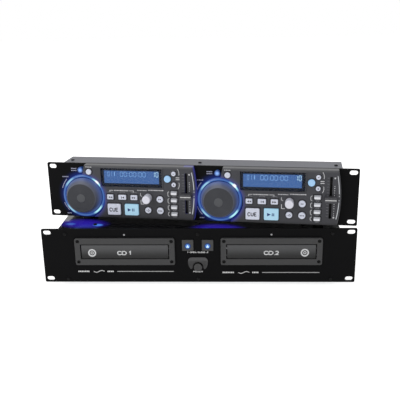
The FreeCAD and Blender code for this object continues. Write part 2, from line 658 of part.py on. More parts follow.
def controller_housing():
    """Shallow steel box behind the panel: floor, sides and back, and the plate for its sockets."""
    half = CONTROLLER_HALF
    floor = CONTROLLER_BOTTOM + SHEET
    roof = CONTROLLER_TOP - SHEET
    box = block(-half, half, PANEL_THICK, CONTROLLER_REAR, CONTROLLER_BOTTOM, roof)
    room = block(-half + SHEET, half - SHEET, 0, CONTROLLER_REAR - SHEET, floor, 99)
    low, high = SOCKET_WINDOW_Z
    window = block(-SOCKET_WINDOW_HALF, SOCKET_WINDOW_HALF, 40, 60, low, high)
    return [box.cut([room, window]), socket_plate()]


def controller_cover():
    """Flat lid of the controller with a short lip down its back."""
    half = CONTROLLER_HALF
    lid = block(-half, half, PANEL_THICK, CONTROLLER_REAR, CONTROLLER_TOP - SHEET, CONTROLLER_TOP)
    lip = block(-half, half, CONTROLLER_REAR, CONTROLLER_REAR + SHEET, CONTROLLER_TOP - 10, CONTROLLER_TOP)
    return [lid.fuse(lip).removeSplitter()]


def controller_screws():
    """Three screws along the controller's lid."""
    places = (-CONTROLLER_SCREW_X, 0, CONTROLLER_SCREW_X)
    return [lid_screw(x, CONTROLLER_SCREW_Y, 2.8, CONTROLLER_TOP, 1.5) for x in places]


def controller_feet():
    """Four rubber feet that stand on the drive's lid."""
    feet = []
    for x in (-CONTROLLER_FOOT_X, CONTROLLER_FOOT_X):
        for y in CONTROLLER_FOOT_Y:
            feet.append(post(x, y, CONTROLLER_FOOT_RADIUS, -CONTROLLER_FOOT_DROP, CONTROLLER_BOTTOM))
    return feet


def fascia_bow():
    """The arc of a fascia's bowed right side, from its top corner to its foot."""
    top_right = Vector(FASCIA_TOP_RIGHT, 0, FASCIA_TOP)
    bulge = Vector(FASCIA_BULGE[0], 0, FASCIA_BULGE[1])
    foot_right = Vector(FASCIA_FOOT_RIGHT, 0, FASCIA_FOOT)
    return Part.Arc(top_right, bulge, foot_right).toShape()


def fascia_outline():
    """Front outline of a fascia: a bowed right side and a round notch for the jog wheel."""
    notch_top_z = JOG_Z + math.sqrt(JOG_NOTCH_RADIUS ** 2 - (FASCIA_NOTCH_LEFT - JOG_X) ** 2)
    notch_foot_x = JOG_X + math.sqrt(JOG_NOTCH_RADIUS ** 2 - (JOG_Z - FASCIA_FOOT) ** 2)
    top_left = Vector(FASCIA_TOP_LEFT, 0, FASCIA_TOP)
    top_right = Vector(FASCIA_TOP_RIGHT, 0, FASCIA_TOP)
    foot_right = Vector(FASCIA_FOOT_RIGHT, 0, FASCIA_FOOT)
    foot_left = Vector(notch_foot_x, 0, FASCIA_FOOT)
    notch_side = Vector(JOG_X + JOG_NOTCH_RADIUS, 0, JOG_Z)
    notch_top = Vector(FASCIA_NOTCH_LEFT, 0, notch_top_z)
    edges = [Part.makeLine(top_left, top_right), fascia_bow()]
    edges.append(Part.makeLine(foot_right, foot_left))
    edges.append(Part.Arc(foot_left, notch_side, notch_top).toShape())
    edges.append(Part.makeLine(notch_top, top_left))
    return Part.Face(Part.Wire(edges))


def bow_bevel():
    """What the bevel takes off the front edge of the bowed side."""
    bow = fascia_bow().Curve
    radius = bow.Radius
    front = -FASCIA_DEPTH - 1
    back = -FASCIA_DEPTH + FASCIA_SOFT_EDGE
    outside = radius + 20
    ring = [(radius - FASCIA_SOFT_EDGE - 1, front), (outside, front), (outside, back), (radius, back)]
    return turned(ring, bow.Center.x, bow.Center.z)


def key_cut(key):
    """Hole in the fascia for a square key."""
    x, z, width, height, _ = key
    reach_x = width / 2 + BUTTON_GAP
    reach_z = height / 2 + BUTTON_GAP
    return plate(x - reach_x, x + reach_x, z - reach_z, z + reach_z, -20, -5, 1.2)


def button_cut(button):
    """Hole in the fascia for a round button."""
    x, z, diameter, _ = button
    return rod(x, z, diameter / 2 + BUTTON_GAP, -20, -5)


def fascia_shell():
    """Hollow fascia with a round top edge, before anything is cut through it."""
    face = fascia_outline()
    shell = face.extrude(Vector(0, -FASCIA_DEPTH, 0))
    front_edges = [edge for edge in shell.Edges if edge.BoundBox.YMax < 0.1 - FASCIA_DEPTH]
    top_edge = [edge for edge in front_edges if edge.BoundBox.ZMin > FASCIA_TOP - 0.1]
    room = face.makeOffset2D(-FASCIA_SIDE).extrude(Vector(0, FASCIA_WALL - FASCIA_DEPTH, 0))
    return shell.makeFillet(FASCIA_SOFT_EDGE, top_edge).cut([room, bow_bevel()])


def control_fascia():
    """Moulded fascia of one deck: a hollow shell with its display frame and holes."""
    front = -FASCIA_DEPTH - DISPLAY_RIM_PROUD
    x0, x1 = DISPLAY_X
    z0, z1 = DISPLAY_Z
    wide = DISPLAY_RIM
    rim = plate(x0 - wide, x1 + wide, z0 - wide, z1 + wide, front, 1 - FASCIA_DEPTH, 2)
    rim = soften_front(rim, front, 0.9)
    bosses = [rod(x, z, 2.6, 1 - FASCIA_DEPTH, 0) for x, z in FASCIA_BOSSES]
    cuts = [key_cut(key) for key in (CUE_KEY, PLAY_KEY) + TRACK_KEYS + LOOP_KEYS]
    single = (PLAY_MODE_BUTTON, TAP_BUTTON, PITCH_BUTTON)
    cuts += [button_cut(button) for button in single + MODE_BUTTONS + BEND_BUTTONS]
    cuts.append(plate(x0, x1, z0, z1, -20, -5, 1.0))
    cuts.append(rod(KNOB[0], KNOB[1], SPINDLE_RADIUS + 0.6, -20, -5))
    left, right = FADER_X - FADER_SLOT_WIDTH / 2, FADER_X + FADER_SLOT_WIDTH / 2
    low, high = FADER_MIDDLE - FADER_SLOT / 2, FADER_MIDDLE + FADER_SLOT / 2
    cuts.append(plate(left, right, low, high, -20, -5, 0.8))
    return [fascia_shell().fuse([rim] + bosses).cut(cuts).removeSplitter()]


def fascia_trim():
    """Silver line down the fascia's right side, in two strips and two dots."""
    start, middle, end = (Vector(x, -FASCIA_DEPTH, z) for x, z in TRIM_ARC)
    circle = Part.Arc(start, middle, end).toShape().Curve
    centre = circle.Center
    front = -FASCIA_DEPTH - TRIM_PROUD
    outer = rod(centre.x, centre.z, circle.Radius + TRIM_WIDTH / 2, front, -FASCIA_DEPTH)
    inner = rod(centre.x, centre.z, circle.Radius - TRIM_WIDTH / 2, -20, 0)
    band = outer.cut(inner)
    return [band.common(block(90, 130, -20, 0, low, high)) for low, high in TRIM_SPANS]


def jog_light_ring():
    """Clear blue light guide round the jog wheel, with its dished floor."""
    crown = [(RING_RADIUS, 0.0), (RING_RADIUS, -4.0), (34.1, -5.0), (33.3, -5.8), (32.4, -RING_PROUD),
             (31.4, -6.0), (RING_INNER, -5.2), (RING_INNER, -2.0), (10.0, -2.0), (10.0, 0.0)]
    return [turned(crown, JOG_X, JOG_Z)]


def jog_wheel():
    """Jog wheel: a hollow dial with sloping sides that turns on the spindle."""
    bore = SPINDLE_RADIUS + RUNNING_GAP
    cap = -DIAL_FRONT - WHEEL_CAP_PROUD
    profile = [(0.0, cap), (WHEEL_CAP_RADIUS - 0.4, cap), (WHEEL_CAP_RADIUS, -DIAL_FRONT),
               (DIAL_RADIUS, -DIAL_FRONT), (23.2, -19.3), (23.7, -18.8),
               (WHEEL_RADIUS - 0.4, -6.4), (WHEEL_RADIUS, -5.6), (WHEEL_RADIUS, -WHEEL_SKIRT),
               (27.2, -WHEEL_SKIRT), (21.6, -17.3), (8.0, -17.3), (8.0, -4.0),
               (bore, -4.0), (bore, -16.8), (0.0, -16.8)]
    return [turned(profile, JOG_X, JOG_Z)]


def display_module():
    """Liquid crystal display in its frame, on four pillars."""
    edge = 0.3
    x0, x1 = DISPLAY_X
    z0, z1 = DISPLAY_Z
    glass = block(x0 + edge, x1 - edge, -9.5, -6.2, z0 + edge, z1 - edge)
    pillars = [rod(x, z, 1.6, -6.2, BOARD_Y[0]) for x in (-37.5, 50) for z in (59, 80)]
    return [glass.fuse(pillars)]


def display_window():
    """Tinted pane that closes the display frame."""
    gap = 0.15
    x0, x1 = DISPLAY_X
    z0, z1 = DISPLAY_Z
    return [plate(x0 + gap, x1 - gap, z0 + gap, z1 - gap, -FASCIA_DEPTH, -9.7, 0.8)]


def key_switch(x, z, half):
    """Small push switch on the board, under a key's stem."""
    top = KEY_TRAVEL + 0.2 - KEY_STEM_END
    return block(x - half, x + half, 0.6, BOARD_Y[0], z - half, z + half).fuse(rod(x, z, 1.7, top, 0.6))


def pitch_fader():
    """Slide control under the fader slot, open along its front."""
    low, high = FADER_MIDDLE - FADER_BODY / 2, FADER_MIDDLE + FADER_BODY / 2
    body = block(FADER_X - 4.5, FADER_X + 4.5, -6, BOARD_Y[0], low, high)
    return body.cut(block(FADER_X - 1.3, FADER_X + 1.3, -7, 1, low + 3, high - 3))


def knob_encoder():
    """Rotary encoder that the track knob's shaft turns in."""
    x, z = KNOB
    body = block(x - 6, x + 6, -6, BOARD_Y[0], z - 6, z + 6)
    return body.cut(rod(x, z, SPINDLE_RADIUS + RUNNING_GAP, -7, 2))


def deck_board_parts():
    """What stands on the circuit board behind one deck."""
    keys = (CUE_KEY, PLAY_KEY) + TRACK_KEYS + LOOP_KEYS
    buttons = (PLAY_MODE_BUTTON, TAP_BUTTON, PITCH_BUTTON) + MODE_BUTTONS + BEND_BUTTONS
    parts = [key_switch(item[0], item[1], 3.0) for item in keys + buttons]
    parts.append(key_switch(TRAY_BUTTON[0], TRAY_BUTTON[1], 2.2))
    parts.append(rod(JOG_X, JOG_Z, 9, -1.6, BOARD_Y[0]))
    parts.append(rod(JOG_X, JOG_Z, SPINDLE_RADIUS, -16.5, -1.6))
    return parts + [knob_encoder(), pitch_fader()]


def controller_board():
    """Circuit board with its switches, spindles, encoders and fader bodies, and the rear sockets."""
    board = block(-BOARD_HALF, BOARD_HALF, BOARD_Y[0], BOARD_Y[1], 6, 84)
    parts = on_both_sides(deck_board_parts, DECK_X)
    for x in BOARD_PILLAR_X:
        for z in (9, 81):
            parts.append(rod(x, z, 2.5, PANEL_THICK, BOARD_Y[0]))
    sockets = []
    for x in (-REAR_SOCKET_X, REAR_SOCKET_X):
        sockets.append(din_socket(x, REAR_SOCKET_Z, CONTROLLER_REAR - 13, CONTROLLER_REAR + SHEET))
    return [board.fuse(parts).removeSplitter()] + sockets


def square_key(key, corner=1.2):
    """One key cap with its collar behind the fascia and its stem."""
    x, z, width, height, proud = key
    front = -FASCIA_DEPTH - proud
    half_x, half_z = width / 2, height / 2
    cap = plate(x - half_x, x + half_x, z - half_z, z + half_z, front, COLLAR_Y[1], corner)
    cap = soften_front(cap, front, 0.7)
    half_x, half_z = half_x + COLLAR_REACH, half_z + COLLAR_REACH
    collar = plate(x - half_x, x + half_x, z - half_z, z + half_z, COLLAR_Y[0], COLLAR_Y[1])
    return cap.fuse([collar, rod(x, z, 2, COLLAR_Y[1], -KEY_STEM_END)]).removeSplitter()


def round_button(button):
    """One round button with its collar and stem."""
    x, z, diameter, proud = button
    front = -FASCIA_DEPTH - proud
    cap = soften_front(rod(x, z, diameter / 2, front, COLLAR_Y[1]), front, 0.8)
    collar = rod(x, z, diameter / 2 + COLLAR_REACH, COLLAR_Y[0], COLLAR_Y[1])
    return cap.fuse([collar, rod(x, z, 2, COLLAR_Y[1], -KEY_STEM_END)]).removeSplitter()


def play_mode_button():
    """Round button beside the notch, its collar cut back to clear the notch's wall."""
    wall = rod(JOG_X, JOG_Z, JOG_NOTCH_RADIUS + FASCIA_SIDE + 0.3, COLLAR_Y[0] - 1, COLLAR_Y[1])
    return [round_button(PLAY_MODE_BUTTON).cut(wall)]


def ganged(caps, x0, x1, z0, z1):
    """Several caps on one thin carrier strip."""
    strip = block(x0, x1, COLLAR_Y[0], COLLAR_Y[1], z0, z1)
    return [strip.fuse(caps).removeSplitter()]


def track_keys():
    """Search and skip keys on one moulding."""
    return ganged([square_key(key) for key in TRACK_KEYS], -30, 12, 36, 40)


def loop_keys():
    """Four loop keys on one moulding."""
    return ganged([square_key(key) for key in LOOP_KEYS], 71, 75.4, 12, 48)


def mode_buttons():
    """Two round mode buttons on one moulding."""
    return ganged([round_button(button) for button in MODE_BUTTONS], 49, 52.8, 20, 34)


def bend_buttons():
    """Two pitch bend buttons on one moulding."""
    return ganged([round_button(button) for button in BEND_BUTTONS], 72, 74.6, 60.3, 77.6)


def tray_button():
    """Round open and close button, a cup that passes through the steel panel over its switch."""
    x, z, diameter, proud = TRAY_BUTTON
    cap = soften_front(rod(x, z, diameter / 2, -proud, TRAY_BUTTON_SKIRT), -proud, 0.9)
    hollow = rod(x, z, diameter / 2 - 1.0, -KEY_STEM_END - 0.8, TRAY_BUTTON_SKIRT + 1)
    return [cap.cut(hollow).fuse(rod(x, z, 2, -KEY_STEM_END - 1, -KEY_STEM_END)).removeSplitter()]


def track_knob():
    """Tall round knob on its encoder shaft."""
    x, z = KNOB
    knob = soften_front(rod(x, z, KNOB_RADIUS, -KNOB_FRONT, -KNOB_BACK), -KNOB_FRONT, 0.8)
    socket = rod(x, z, SPINDLE_RADIUS, -KNOB_FRONT + 4, -KNOB_BACK + 1)
    shaft = rod(x, z, SPINDLE_RADIUS, -KNOB_FRONT + 4, 1.5)
    return [knob.cut(socket), shaft]


def fader_knob(rest):
    """Pitch fader cap with a sunk finger grip, and its flat stem, at rest off the middle."""
    width, height = FADER_CAP
    y0, y1 = FADER_CAP_Y
    x0 = FADER_X - width / 2
    middle = FADER_MIDDLE + rest
    z0 = middle - height / 2
    cap = soften_front(plate(x0, x0 + width, z0, z0 + height, y0, y1, 0.8), y0, 0.6)
    grip_middle = Vector(x0 - 2, y0 - GRIP_RADIUS + GRIP_DEPTH, middle)
    grip = Part.makeCylinder(GRIP_RADIUS, width + 4, grip_middle, Vector(1, 0, 0))
    stem = block(FADER_X - 0.8, FADER_X + 0.8, y1 - 1, 0.2, middle - 2, middle + 2)
    return [cap.cut(grip).fuse(stem).removeSplitter()]


# --------------------------------------------------------------- export by node

DRIVE_PLACE = Placement(Vector(0, -PANEL_THICK, -PANEL_HEIGHT / 2), Rotation())
CONTROLLER_PLACE = Placement(
    Vector(CONTROLLER_X, CONTROLLER_Y - PANEL_THICK, DRIVE_TOP + CONTROLLER_FOOT_DROP - PANEL_HEIGHT / 2),
    Rotation(Vector(0, 0, 1), -CONTROLLER_TURN),
)


def save(node, solids, placement, x=0.0):
    """Write one node's solids, drawn about x in their unit frame, as a STEP file."""
    whole = placement.multiply(Placement(Vector(x, 0, 0), Rotation()))
    placed = [solid.transformed(whole.toMatrix(), True) for solid in solids]
    shape = placed[0] if len(placed) == 1 else Part.makeCompound(placed)
    if not shape.isValid():
        print("invalid shape in", node)
    shape.exportStep(os.path.join("parts", node + ".step"))


os.makedirs("parts", exist_ok=True)

drive_nodes = {
    "drive_front_panel": drive_front_panel(),
    "drive_chassis": drive_chassis(),
    "drive_cover": drive_cover(),
    "tray_bezels": on_both_sides(tray_bezel, BAY_X),
    "power_surround": power_surround(),
    "drive_screws": drive_screws(),
    "drive_feet": drive_feet(),
    "rear_sockets": rear_sockets(),
    "mains_inlet": mains_inlet(),
    "loader_frames": on_both_sides(loader_frame, BAY_X),
    "power_transformer": power_transformer(),
    "drive_board": drive_board(),
    "power_button": power_button(),
}
for node, solids in drive_nodes.items():
    save(node, solids, DRIVE_PLACE)

controller_nodes = {
    "controller_panel": controller_panel(),
    "controller_housing": controller_housing(),
    "controller_cover": controller_cover(),
    "controller_screws": controller_screws(),
    "controller_feet": controller_feet(),
    "controller_board": controller_board(),
    "control_fascias": on_both_sides(control_fascia, DECK_X),
    "fascia_trims": on_both_sides(fascia_trim, DECK_X),
    "jog_light_rings": on_both_sides(jog_light_ring, DECK_X),
    "display_modules": on_both_sides(display_module, DECK_X),
    "display_windows": on_both_sides(display_window, DECK_X),
}
for node, solids in controller_nodes.items():
    save(node, solids, CONTROLLER_PLACE)

for side, sign in (("left", -1), ("right", 1)):
    bay_nodes = {
        "disc_tray": disc_tray(),
        "tray_pinion": tray_pinion(),
        "turntable": turntable(),
        "laser_sled": laser_sled(),
    }
    for node, solids in bay_nodes.items():
        save(side + "_" + node, solids, DRIVE_PLACE, sign * BAY_X)
    save(side + "_eject_button", eject_button(), DRIVE_PLACE, sign * EJECT_X)
    deck_nodes = {
        "jog_wheel": jog_wheel(),
        "cue_button": [square_key(CUE_KEY, 1.8)],
        "play_button": [square_key(PLAY_KEY, 1.8)],
        "track_keys": track_keys(),
        "loop_keys": loop_keys(),
        "mode_buttons": mode_buttons(),
        "bend_buttons": bend_buttons(),
        "pitch_button": [round_button(PITCH_BUTTON)],
        "tap_button": [round_button(TAP_BUTTON)],
        "play_mode_button": play_mode_button(),
        "tray_button": tray_button(),
        "track_knob": track_knob(),
        "fader_knob": fader_knob(FADER_REST[side]),
    }
    for node, solids in deck_nodes.items():
        save(side + "_" + node, solids, CONTROLLER_PLACE, sign * DECK_X)
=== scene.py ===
import json
from itertools import cycle

import bmesh
import bpy
import numpy as np
from mathutils import Matrix, Vector


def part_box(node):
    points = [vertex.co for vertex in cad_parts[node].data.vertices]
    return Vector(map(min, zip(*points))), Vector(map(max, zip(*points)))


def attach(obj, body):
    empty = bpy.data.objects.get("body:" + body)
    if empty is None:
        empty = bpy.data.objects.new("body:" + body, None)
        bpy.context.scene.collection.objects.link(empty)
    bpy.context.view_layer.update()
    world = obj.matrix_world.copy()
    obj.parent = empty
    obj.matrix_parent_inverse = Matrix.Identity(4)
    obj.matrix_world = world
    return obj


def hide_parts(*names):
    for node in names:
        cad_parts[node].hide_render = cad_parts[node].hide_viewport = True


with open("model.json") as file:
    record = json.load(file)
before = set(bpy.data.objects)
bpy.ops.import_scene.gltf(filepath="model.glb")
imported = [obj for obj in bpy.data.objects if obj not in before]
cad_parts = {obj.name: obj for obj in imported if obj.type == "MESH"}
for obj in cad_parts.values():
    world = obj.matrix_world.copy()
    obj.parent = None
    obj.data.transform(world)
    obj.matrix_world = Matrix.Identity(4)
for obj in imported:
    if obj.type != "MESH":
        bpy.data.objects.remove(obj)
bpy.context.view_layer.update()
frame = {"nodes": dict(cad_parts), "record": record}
nodes = frame["nodes"]
record = frame["record"]


# -------------------- the two rack units
# A twin disc player for DJs comes as two boxes of two rack units each: the drive
# unit, and a controller that stands on the drive's lid, turned a little.  Each is
# measured from its own front panel, in millimetres.

PANEL_THICK = 3.0
PANEL_HEIGHT = 88.1
MM = 1000.0  # millimetres in a metre


class Unit:
    """One box: X from the middle of its panel, Y back from the panel's face, Z up from its foot."""

    def __init__(self, slots_middle, inward):
        self.right = np.array([inward[1], -inward[0], 0.0])
        self.inward = np.array(inward)
        self.up = np.array([0.0, 0.0, 1.0])
        down = np.array([0.0, 0.0, PANEL_HEIGHT / 2])
        self.origin = np.array(slots_middle) * MM - self.inward * PANEL_THICK - down
        self.turn = float(np.arctan2(inward[0], inward[1]))

    def row(self, points):
        """This unit's millimetres as metres: the origin plus each coordinate along its own axis."""
        axes = np.stack([self.right, self.inward, self.up])
        return (self.origin + points @ axes) / MM


mounts = {mount["name"]: mount for mount in record["mounts"]}
joints = {joint["name"]: joint for joint in record["behaviour"]["joints"]}
drive = Unit(mounts["drive_rack_slots"]["pos_m"], (0.0, 1.0, 0.0))
controller = Unit(mounts["controller_rack_slots"]["pos_m"], joints["left_jog_spin"]["axis"])

BAY_X = 112.6
DECK_X = 108.25
SIDES = (("left", -1), ("right", 1))


# -------------------- front panels
# Two slotted rack panels of 3 mm aluminium, sprayed satin black.  The cut edges are
# paler, partly thin paint and partly a painted highlight, and a blue glow is painted
# on the controller's panel round the jog rings, standing for the light they throw.

BLACK_PAINT = (0.0030, 0.0030, 0.0034)
WORN_AND_LIT_EDGE = (0.032, 0.032, 0.035)
PAINTED_GLOW_BLUE = (0.007, 0.017, 0.13)
PANEL_GLOW_REACH = 13.0
JOG_X = -74.0
JOG_Z = 36.3
RING_RADIUS = 34.5
EDGE_LEAN = (0.99, 0.80)
TONE_SPAN, TONE_SHARE = (0.35, 0.65), 0.5
SPECK_SPAN, SPECK_SHARE = (0.3, 0.7), 0.35
LIT_GAIN, LIT_LIFT = 1.8, 0.01
ROUGHNESS_SWING = 0.16
NOISE_DETAIL = (("Blotch", 4.0), ("Grain", 2.0))
COAT_ROUGHNESS = 0.12
UNLIT = (0.0, 0.0, 0.0, 1.0)


class Nodes:
    """A shader tree, with short ways to add a node, join sockets and do a sum."""

    def __init__(self, tree):
        self.tree = tree

    def link(self, source, target):
        """Joins a socket to an input, or sets the input to a plain value."""
        if isinstance(source, bpy.types.NodeSocket):
            self.tree.links.new(source, target)
        else:
            target.default_value = source

    def node(self, kind, **values):
        """A new node, with the named inputs joined or set."""
        made = self.tree.nodes.new(kind)
        for name, value in values.items():
            self.link(value, made.inputs[name.replace("_", " ")])
        return made

    def math(self, operation, *values):
        """One step of arithmetic on sockets and numbers."""
        step = self.node("ShaderNodeMath")
        step.operation = operation
        for value, target in zip(values, step.inputs):
            self.link(value, target)
        return step.outputs["Value"]

    def times(self, first, second):
        """The product of two sockets or numbers."""
        return self.math("MULTIPLY", first, second)


def worn_and_lit_surface():
    """Shader group that rounds hard edges for the light and gives masks of worn edges, which also carry a
    painted edge highlight.

    Edge is how far a rounded normal leans from the true one.  Grain is fine noise, and
    Blotch is broad noise.  Normal is the rounded normal, bumped by the grain.
    """
    tree = bpy.data.node_groups.new("worn_and_lit_surface", "ShaderNodeTree")
    for name in ("Radius", "Grain Size", "Grain Depth", "Blotch Size"):
        tree.interface.new_socket(name=name, in_out="INPUT", socket_type="NodeSocketFloat")
    for name, kind in (("Edge", "Float"), ("Grain", "Float"), ("Blotch", "Float"), ("Normal", "Vector")):
        tree.interface.new_socket(name=name, in_out="OUTPUT", socket_type="NodeSocket" + kind)
    group = Nodes(tree)
    taken, given = group.node("NodeGroupInput").outputs, group.node("NodeGroupOutput").inputs
    bevel = group.node("ShaderNodeBevel", Radius=taken["Radius"])
    bevel.samples = 4
    rounded = bevel.outputs["Normal"]
    lean = group.node("ShaderNodeVectorMath")
    lean.operation = "DOT_PRODUCT"
    group.link(rounded, lean.inputs[0])
    group.link(group.node("ShaderNodeNewGeometry").outputs["Normal"], lean.inputs[1])
    low, high = EDGE_LEAN
    edge = group.node("ShaderNodeMapRange", Value=lean.outputs["Value"], From_Min=low, From_Max=high)
    group.link(edge.outputs["Result"], given["Edge"])
    place = group.node("ShaderNodeTexCoord").outputs["Object"]
    for name, detail in NOISE_DETAIL:
        scale = group.math("DIVIDE", 1.0, taken[name + " Size"])
        noise = group.node("ShaderNodeTexNoise", Vector=place, Scale=scale, Detail=detail).outputs["Fac"]
        group.link(noise, given[name])
    bump = group.node("ShaderNodeBump", Distance=taken["Grain Depth"], Height=noise, Normal=rounded)
    bump.inputs["Strength"].default_value = 1.0
    group.link(bump.outputs["Normal"], given["Normal"])
    return tree


WORN_AND_LIT_SURFACE = worn_and_lit_surface()


class Finish(Nodes):
    """One finish: a Principled shader whose colour and roughness are built up mask by mask."""

    def __init__(self, name, colour, roughness, unit=drive, metallic=0.0, specular=0.28, coat=0.0):
        self.material = bpy.data.materials.new(name)
        self.material.use_nodes = True
        super().__init__(self.material.node_tree)
        self.shader = self.tree.nodes["Principled BSDF"]
        self.base = colour
        self.laid = {"Base Color": (*colour, 1.0), "Roughness": roughness, "Metallic": metallic}
        fixed = {"Specular IOR Level": specular, "Coat Weight": coat, "Coat Roughness": COAT_ROUGHNESS}
        for socket, value in (self.laid | fixed).items():
            self.shader.inputs[socket].default_value = value
        metres = self.node("ShaderNodeTexCoord").outputs["Object"]
        mapping = self.node("ShaderNodeMapping", Vector=metres, Scale=(MM, MM, MM))
        mapping.inputs["Location"].default_value = -(Matrix.Rotation(unit.turn, 3, "Z") @ Vector(unit.origin))
        mapping.inputs["Rotation"].default_value = (0.0, 0.0, unit.turn)
        self.place = mapping.outputs["Vector"]
        self.x, self.y, self.z = self.node("ShaderNodeSeparateXYZ", Vector=self.place).outputs

    def ramp(self, value, low, high, smooth=True):
        """0 at low and 1 at high, and the other way round if low is above high."""
        step = self.node("ShaderNodeMapRange", Value=value, From_Min=low, From_Max=high)
        step.interpolation_type = "SMOOTHSTEP" if smooth else "LINEAR"
        return step.outputs["Result"]

    def band(self, value, low, high, soft=0.05):
        """1 between low and high, with soft ends."""
        rise = self.ramp(value, low - soft, low + soft, smooth=False)
        fall = self.ramp(value, high + soft, high - soft, smooth=False)
        return self.times(rise, fall)

    def inside(self, x=None, y=None, z=None):
        """1 inside a box of this unit's millimetres; a side left out has no limit."""
        mask = None
        for value, limits in ((self.x, x), (self.y, y), (self.z, z)):
            if limits is None:
                continue
            band = self.band(value, *limits)
            mask = band if mask is None else self.times(mask, band)
        return mask

    def sum_of_squares(self, first, second):
        """First squared plus second squared."""
        return self.math("ADD", self.times(first, first), self.times(second, second))

    def distance(self, x, z):
        """Distance from an axis that runs back at x, z."""
        across = self.math("SUBTRACT", self.x, x)
        above = self.math("SUBTRACT", self.z, z)
        return self.math("SQRT", self.sum_of_squares(across, above))

    def patch(self, x, y, half_x, half_y):
        """1 at x, y on a level face, fading to 0 at an ellipse with these half axes."""
        across = self.math("DIVIDE", self.math("SUBTRACT", self.x, x), half_x)
        back = self.math("DIVIDE", self.math("SUBTRACT", self.y, y), half_y)
        return self.ramp(self.sum_of_squares(across, back), 1.0, 0.0)

    def deck_x(self):
        """X from the middle of whichever deck is nearer."""
        return self.math("MULTIPLY_ADD", self.math("SIGN", self.x), -DECK_X, self.x)

    def blend(self, mask, under, over):
        """over where the mask is 1, under where it is 0; both colours or both numbers."""
        colours = any(isinstance(side, tuple) or getattr(side, "type", "") == "RGBA"
                      for side in (under, over))
        kind = "RGBA" if colours else "VALUE"
        step = self.node("ShaderNodeMix")
        step.data_type = "RGBA" if colours else "FLOAT"
        low, high = [place for place in step.inputs if place.name in "AB" and place.type == kind][:2]
        self.link(mask, step.inputs[0])
        self.link(under, low)
        self.link(over, high)
        return next(socket for socket in step.outputs if socket.type == kind)

    def lay(self, mask, colour=None, roughness=None, metallic=None):
        """Lays another colour, roughness or metal over this finish where the mask is 1."""
        over = {"Base Color": colour and (*colour, 1.0), "Roughness": roughness, "Metallic": metallic}
        for name, value in over.items():
            if value is not None:
                self.laid[name] = self.blend(mask, self.laid[name], value)

    def wear_and_edge_light(self, radius, grain, depth, blotch, mottle, edge, edge_colour=None):
        """Grain, mottled tone and paler edges, partly worn and partly a painted highlight; every size is in
        millimetres.
        """
        worn = self.tree.nodes.new("ShaderNodeGroup")
        worn.node_tree = WORN_AND_LIT_SURFACE
        sizes = {"Radius": radius, "Grain Size": grain, "Grain Depth": depth, "Blotch Size": blotch}
        for name, size in sizes.items():
            worn.inputs[name].default_value = size / MM
        self.link(worn.outputs["Normal"], self.shader.inputs["Normal"])
        darker = tuple(value * (1.0 - 2 * mottle) for value in self.base)
        self.speck = self.ramp(worn.outputs["Grain"], *SPECK_SPAN)
        self.lay(self.times(self.ramp(worn.outputs["Blotch"], *TONE_SPAN), TONE_SHARE), darker)
        self.lay(self.times(self.speck, SPECK_SHARE), darker)
        # Paler edges: partly worn paint and partly a painted highlight where light catches them
        lit = edge_colour or tuple(min(1.0, value * LIT_GAIN + LIT_LIFT) for value in self.base)
        self.lay(self.times(worn.outputs["Edge"], edge), lit)
        change = self.math("MULTIPLY_ADD", worn.outputs["Grain"], ROUGHNESS_SWING, -ROUGHNESS_SWING / 2)
        self.laid["Roughness"] = self.math("ADD", self.laid["Roughness"], change)

    def glow_with(self, colours, strength=1.0):
        """Light of its own, in the colours that a socket gives."""
        self.shader.inputs["Emission Strength"].default_value = strength
        self.link(colours, self.shader.inputs["Emission Color"])

    def glow(self, mask, colour, strength=1.0):
        """Light of its own, in one colour scaled by a mask."""
        self.glow_with(self.blend(mask, UNLIT, (*colour, 1.0)), strength)

    def done(self):
        """The finished material."""
        for name, value in self.laid.items():
            self.link(value, self.shader.inputs[name])
        return self.material


def dress(material, *names):
    """Gives CAD nodes this material."""
    for name in names:
        for place in nodes[name].material_slots:
            place.material = material


def ring_glow_mask(finish, reach):
    """Mask for painted ring light: 1 at either jog ring's edge, fading to 0 at reach millimetres beyond it.
    """
    away = [finish.distance(sign * DECK_X + JOG_X, JOG_Z) for _, sign in SIDES]
    nearest = finish.math("MINIMUM", *away)
    fade = finish.ramp(nearest, RING_RADIUS + reach, RING_RADIUS - 1.0)
    return finish.times(fade, fade)


def panel_paint(name, unit):
    """Satin black paint on a panel of the given unit."""
    paint = Finish(name, BLACK_PAINT, 0.52, unit=unit, specular=0.06)
    paint.wear_and_edge_light(radius=0.4, grain=0.35, depth=0.006, blotch=60.0, mottle=0.15, edge=0.9, edge_colour=WORN_AND_LIT_EDGE)
    return paint


dress(panel_paint("black_panel_paint", drive).done(), "drive_front_panel")
glow_painted_panel = panel_paint("panel_paint_with_painted_glow", controller)
# Painted glow: the rings' blue light on the controller's panel
glow_painted_panel.glow(ring_glow_mask(glow_painted_panel, PANEL_GLOW_REACH), PAINTED_GLOW_BLUE)
dress(glow_painted_panel.done(), "controller_panel")


# -------------------- drive unit's case
# A folded pan of zinc plated steel holds the works.  One bent sheet in a smooth
# black enamel closes the top and both sides.  A purple and blue glow is painted on
# its top under each jog ring, standing for the lit controller reflected in it.

ENAMEL = (0.006, 0.006, 0.007)
PAINTED_LID_GLOW_PURPLE = (0.020, 0.008, 0.30)
PAINTED_LID_GLOW_CYAN = (0.07, 0.24, 0.80)
POOL_Y, POOL_REACH = -20.0, (48.0, 26.0)
SPOTS, SPOT_Y, SPOT_REACH = ((-19.0, 0.45), (26.0, 1.0)), -24.0, (10.0, 7.0)
LID_Z = (-7.0, -6.0)
ZINC = (0.50, 0.51, 0.53)

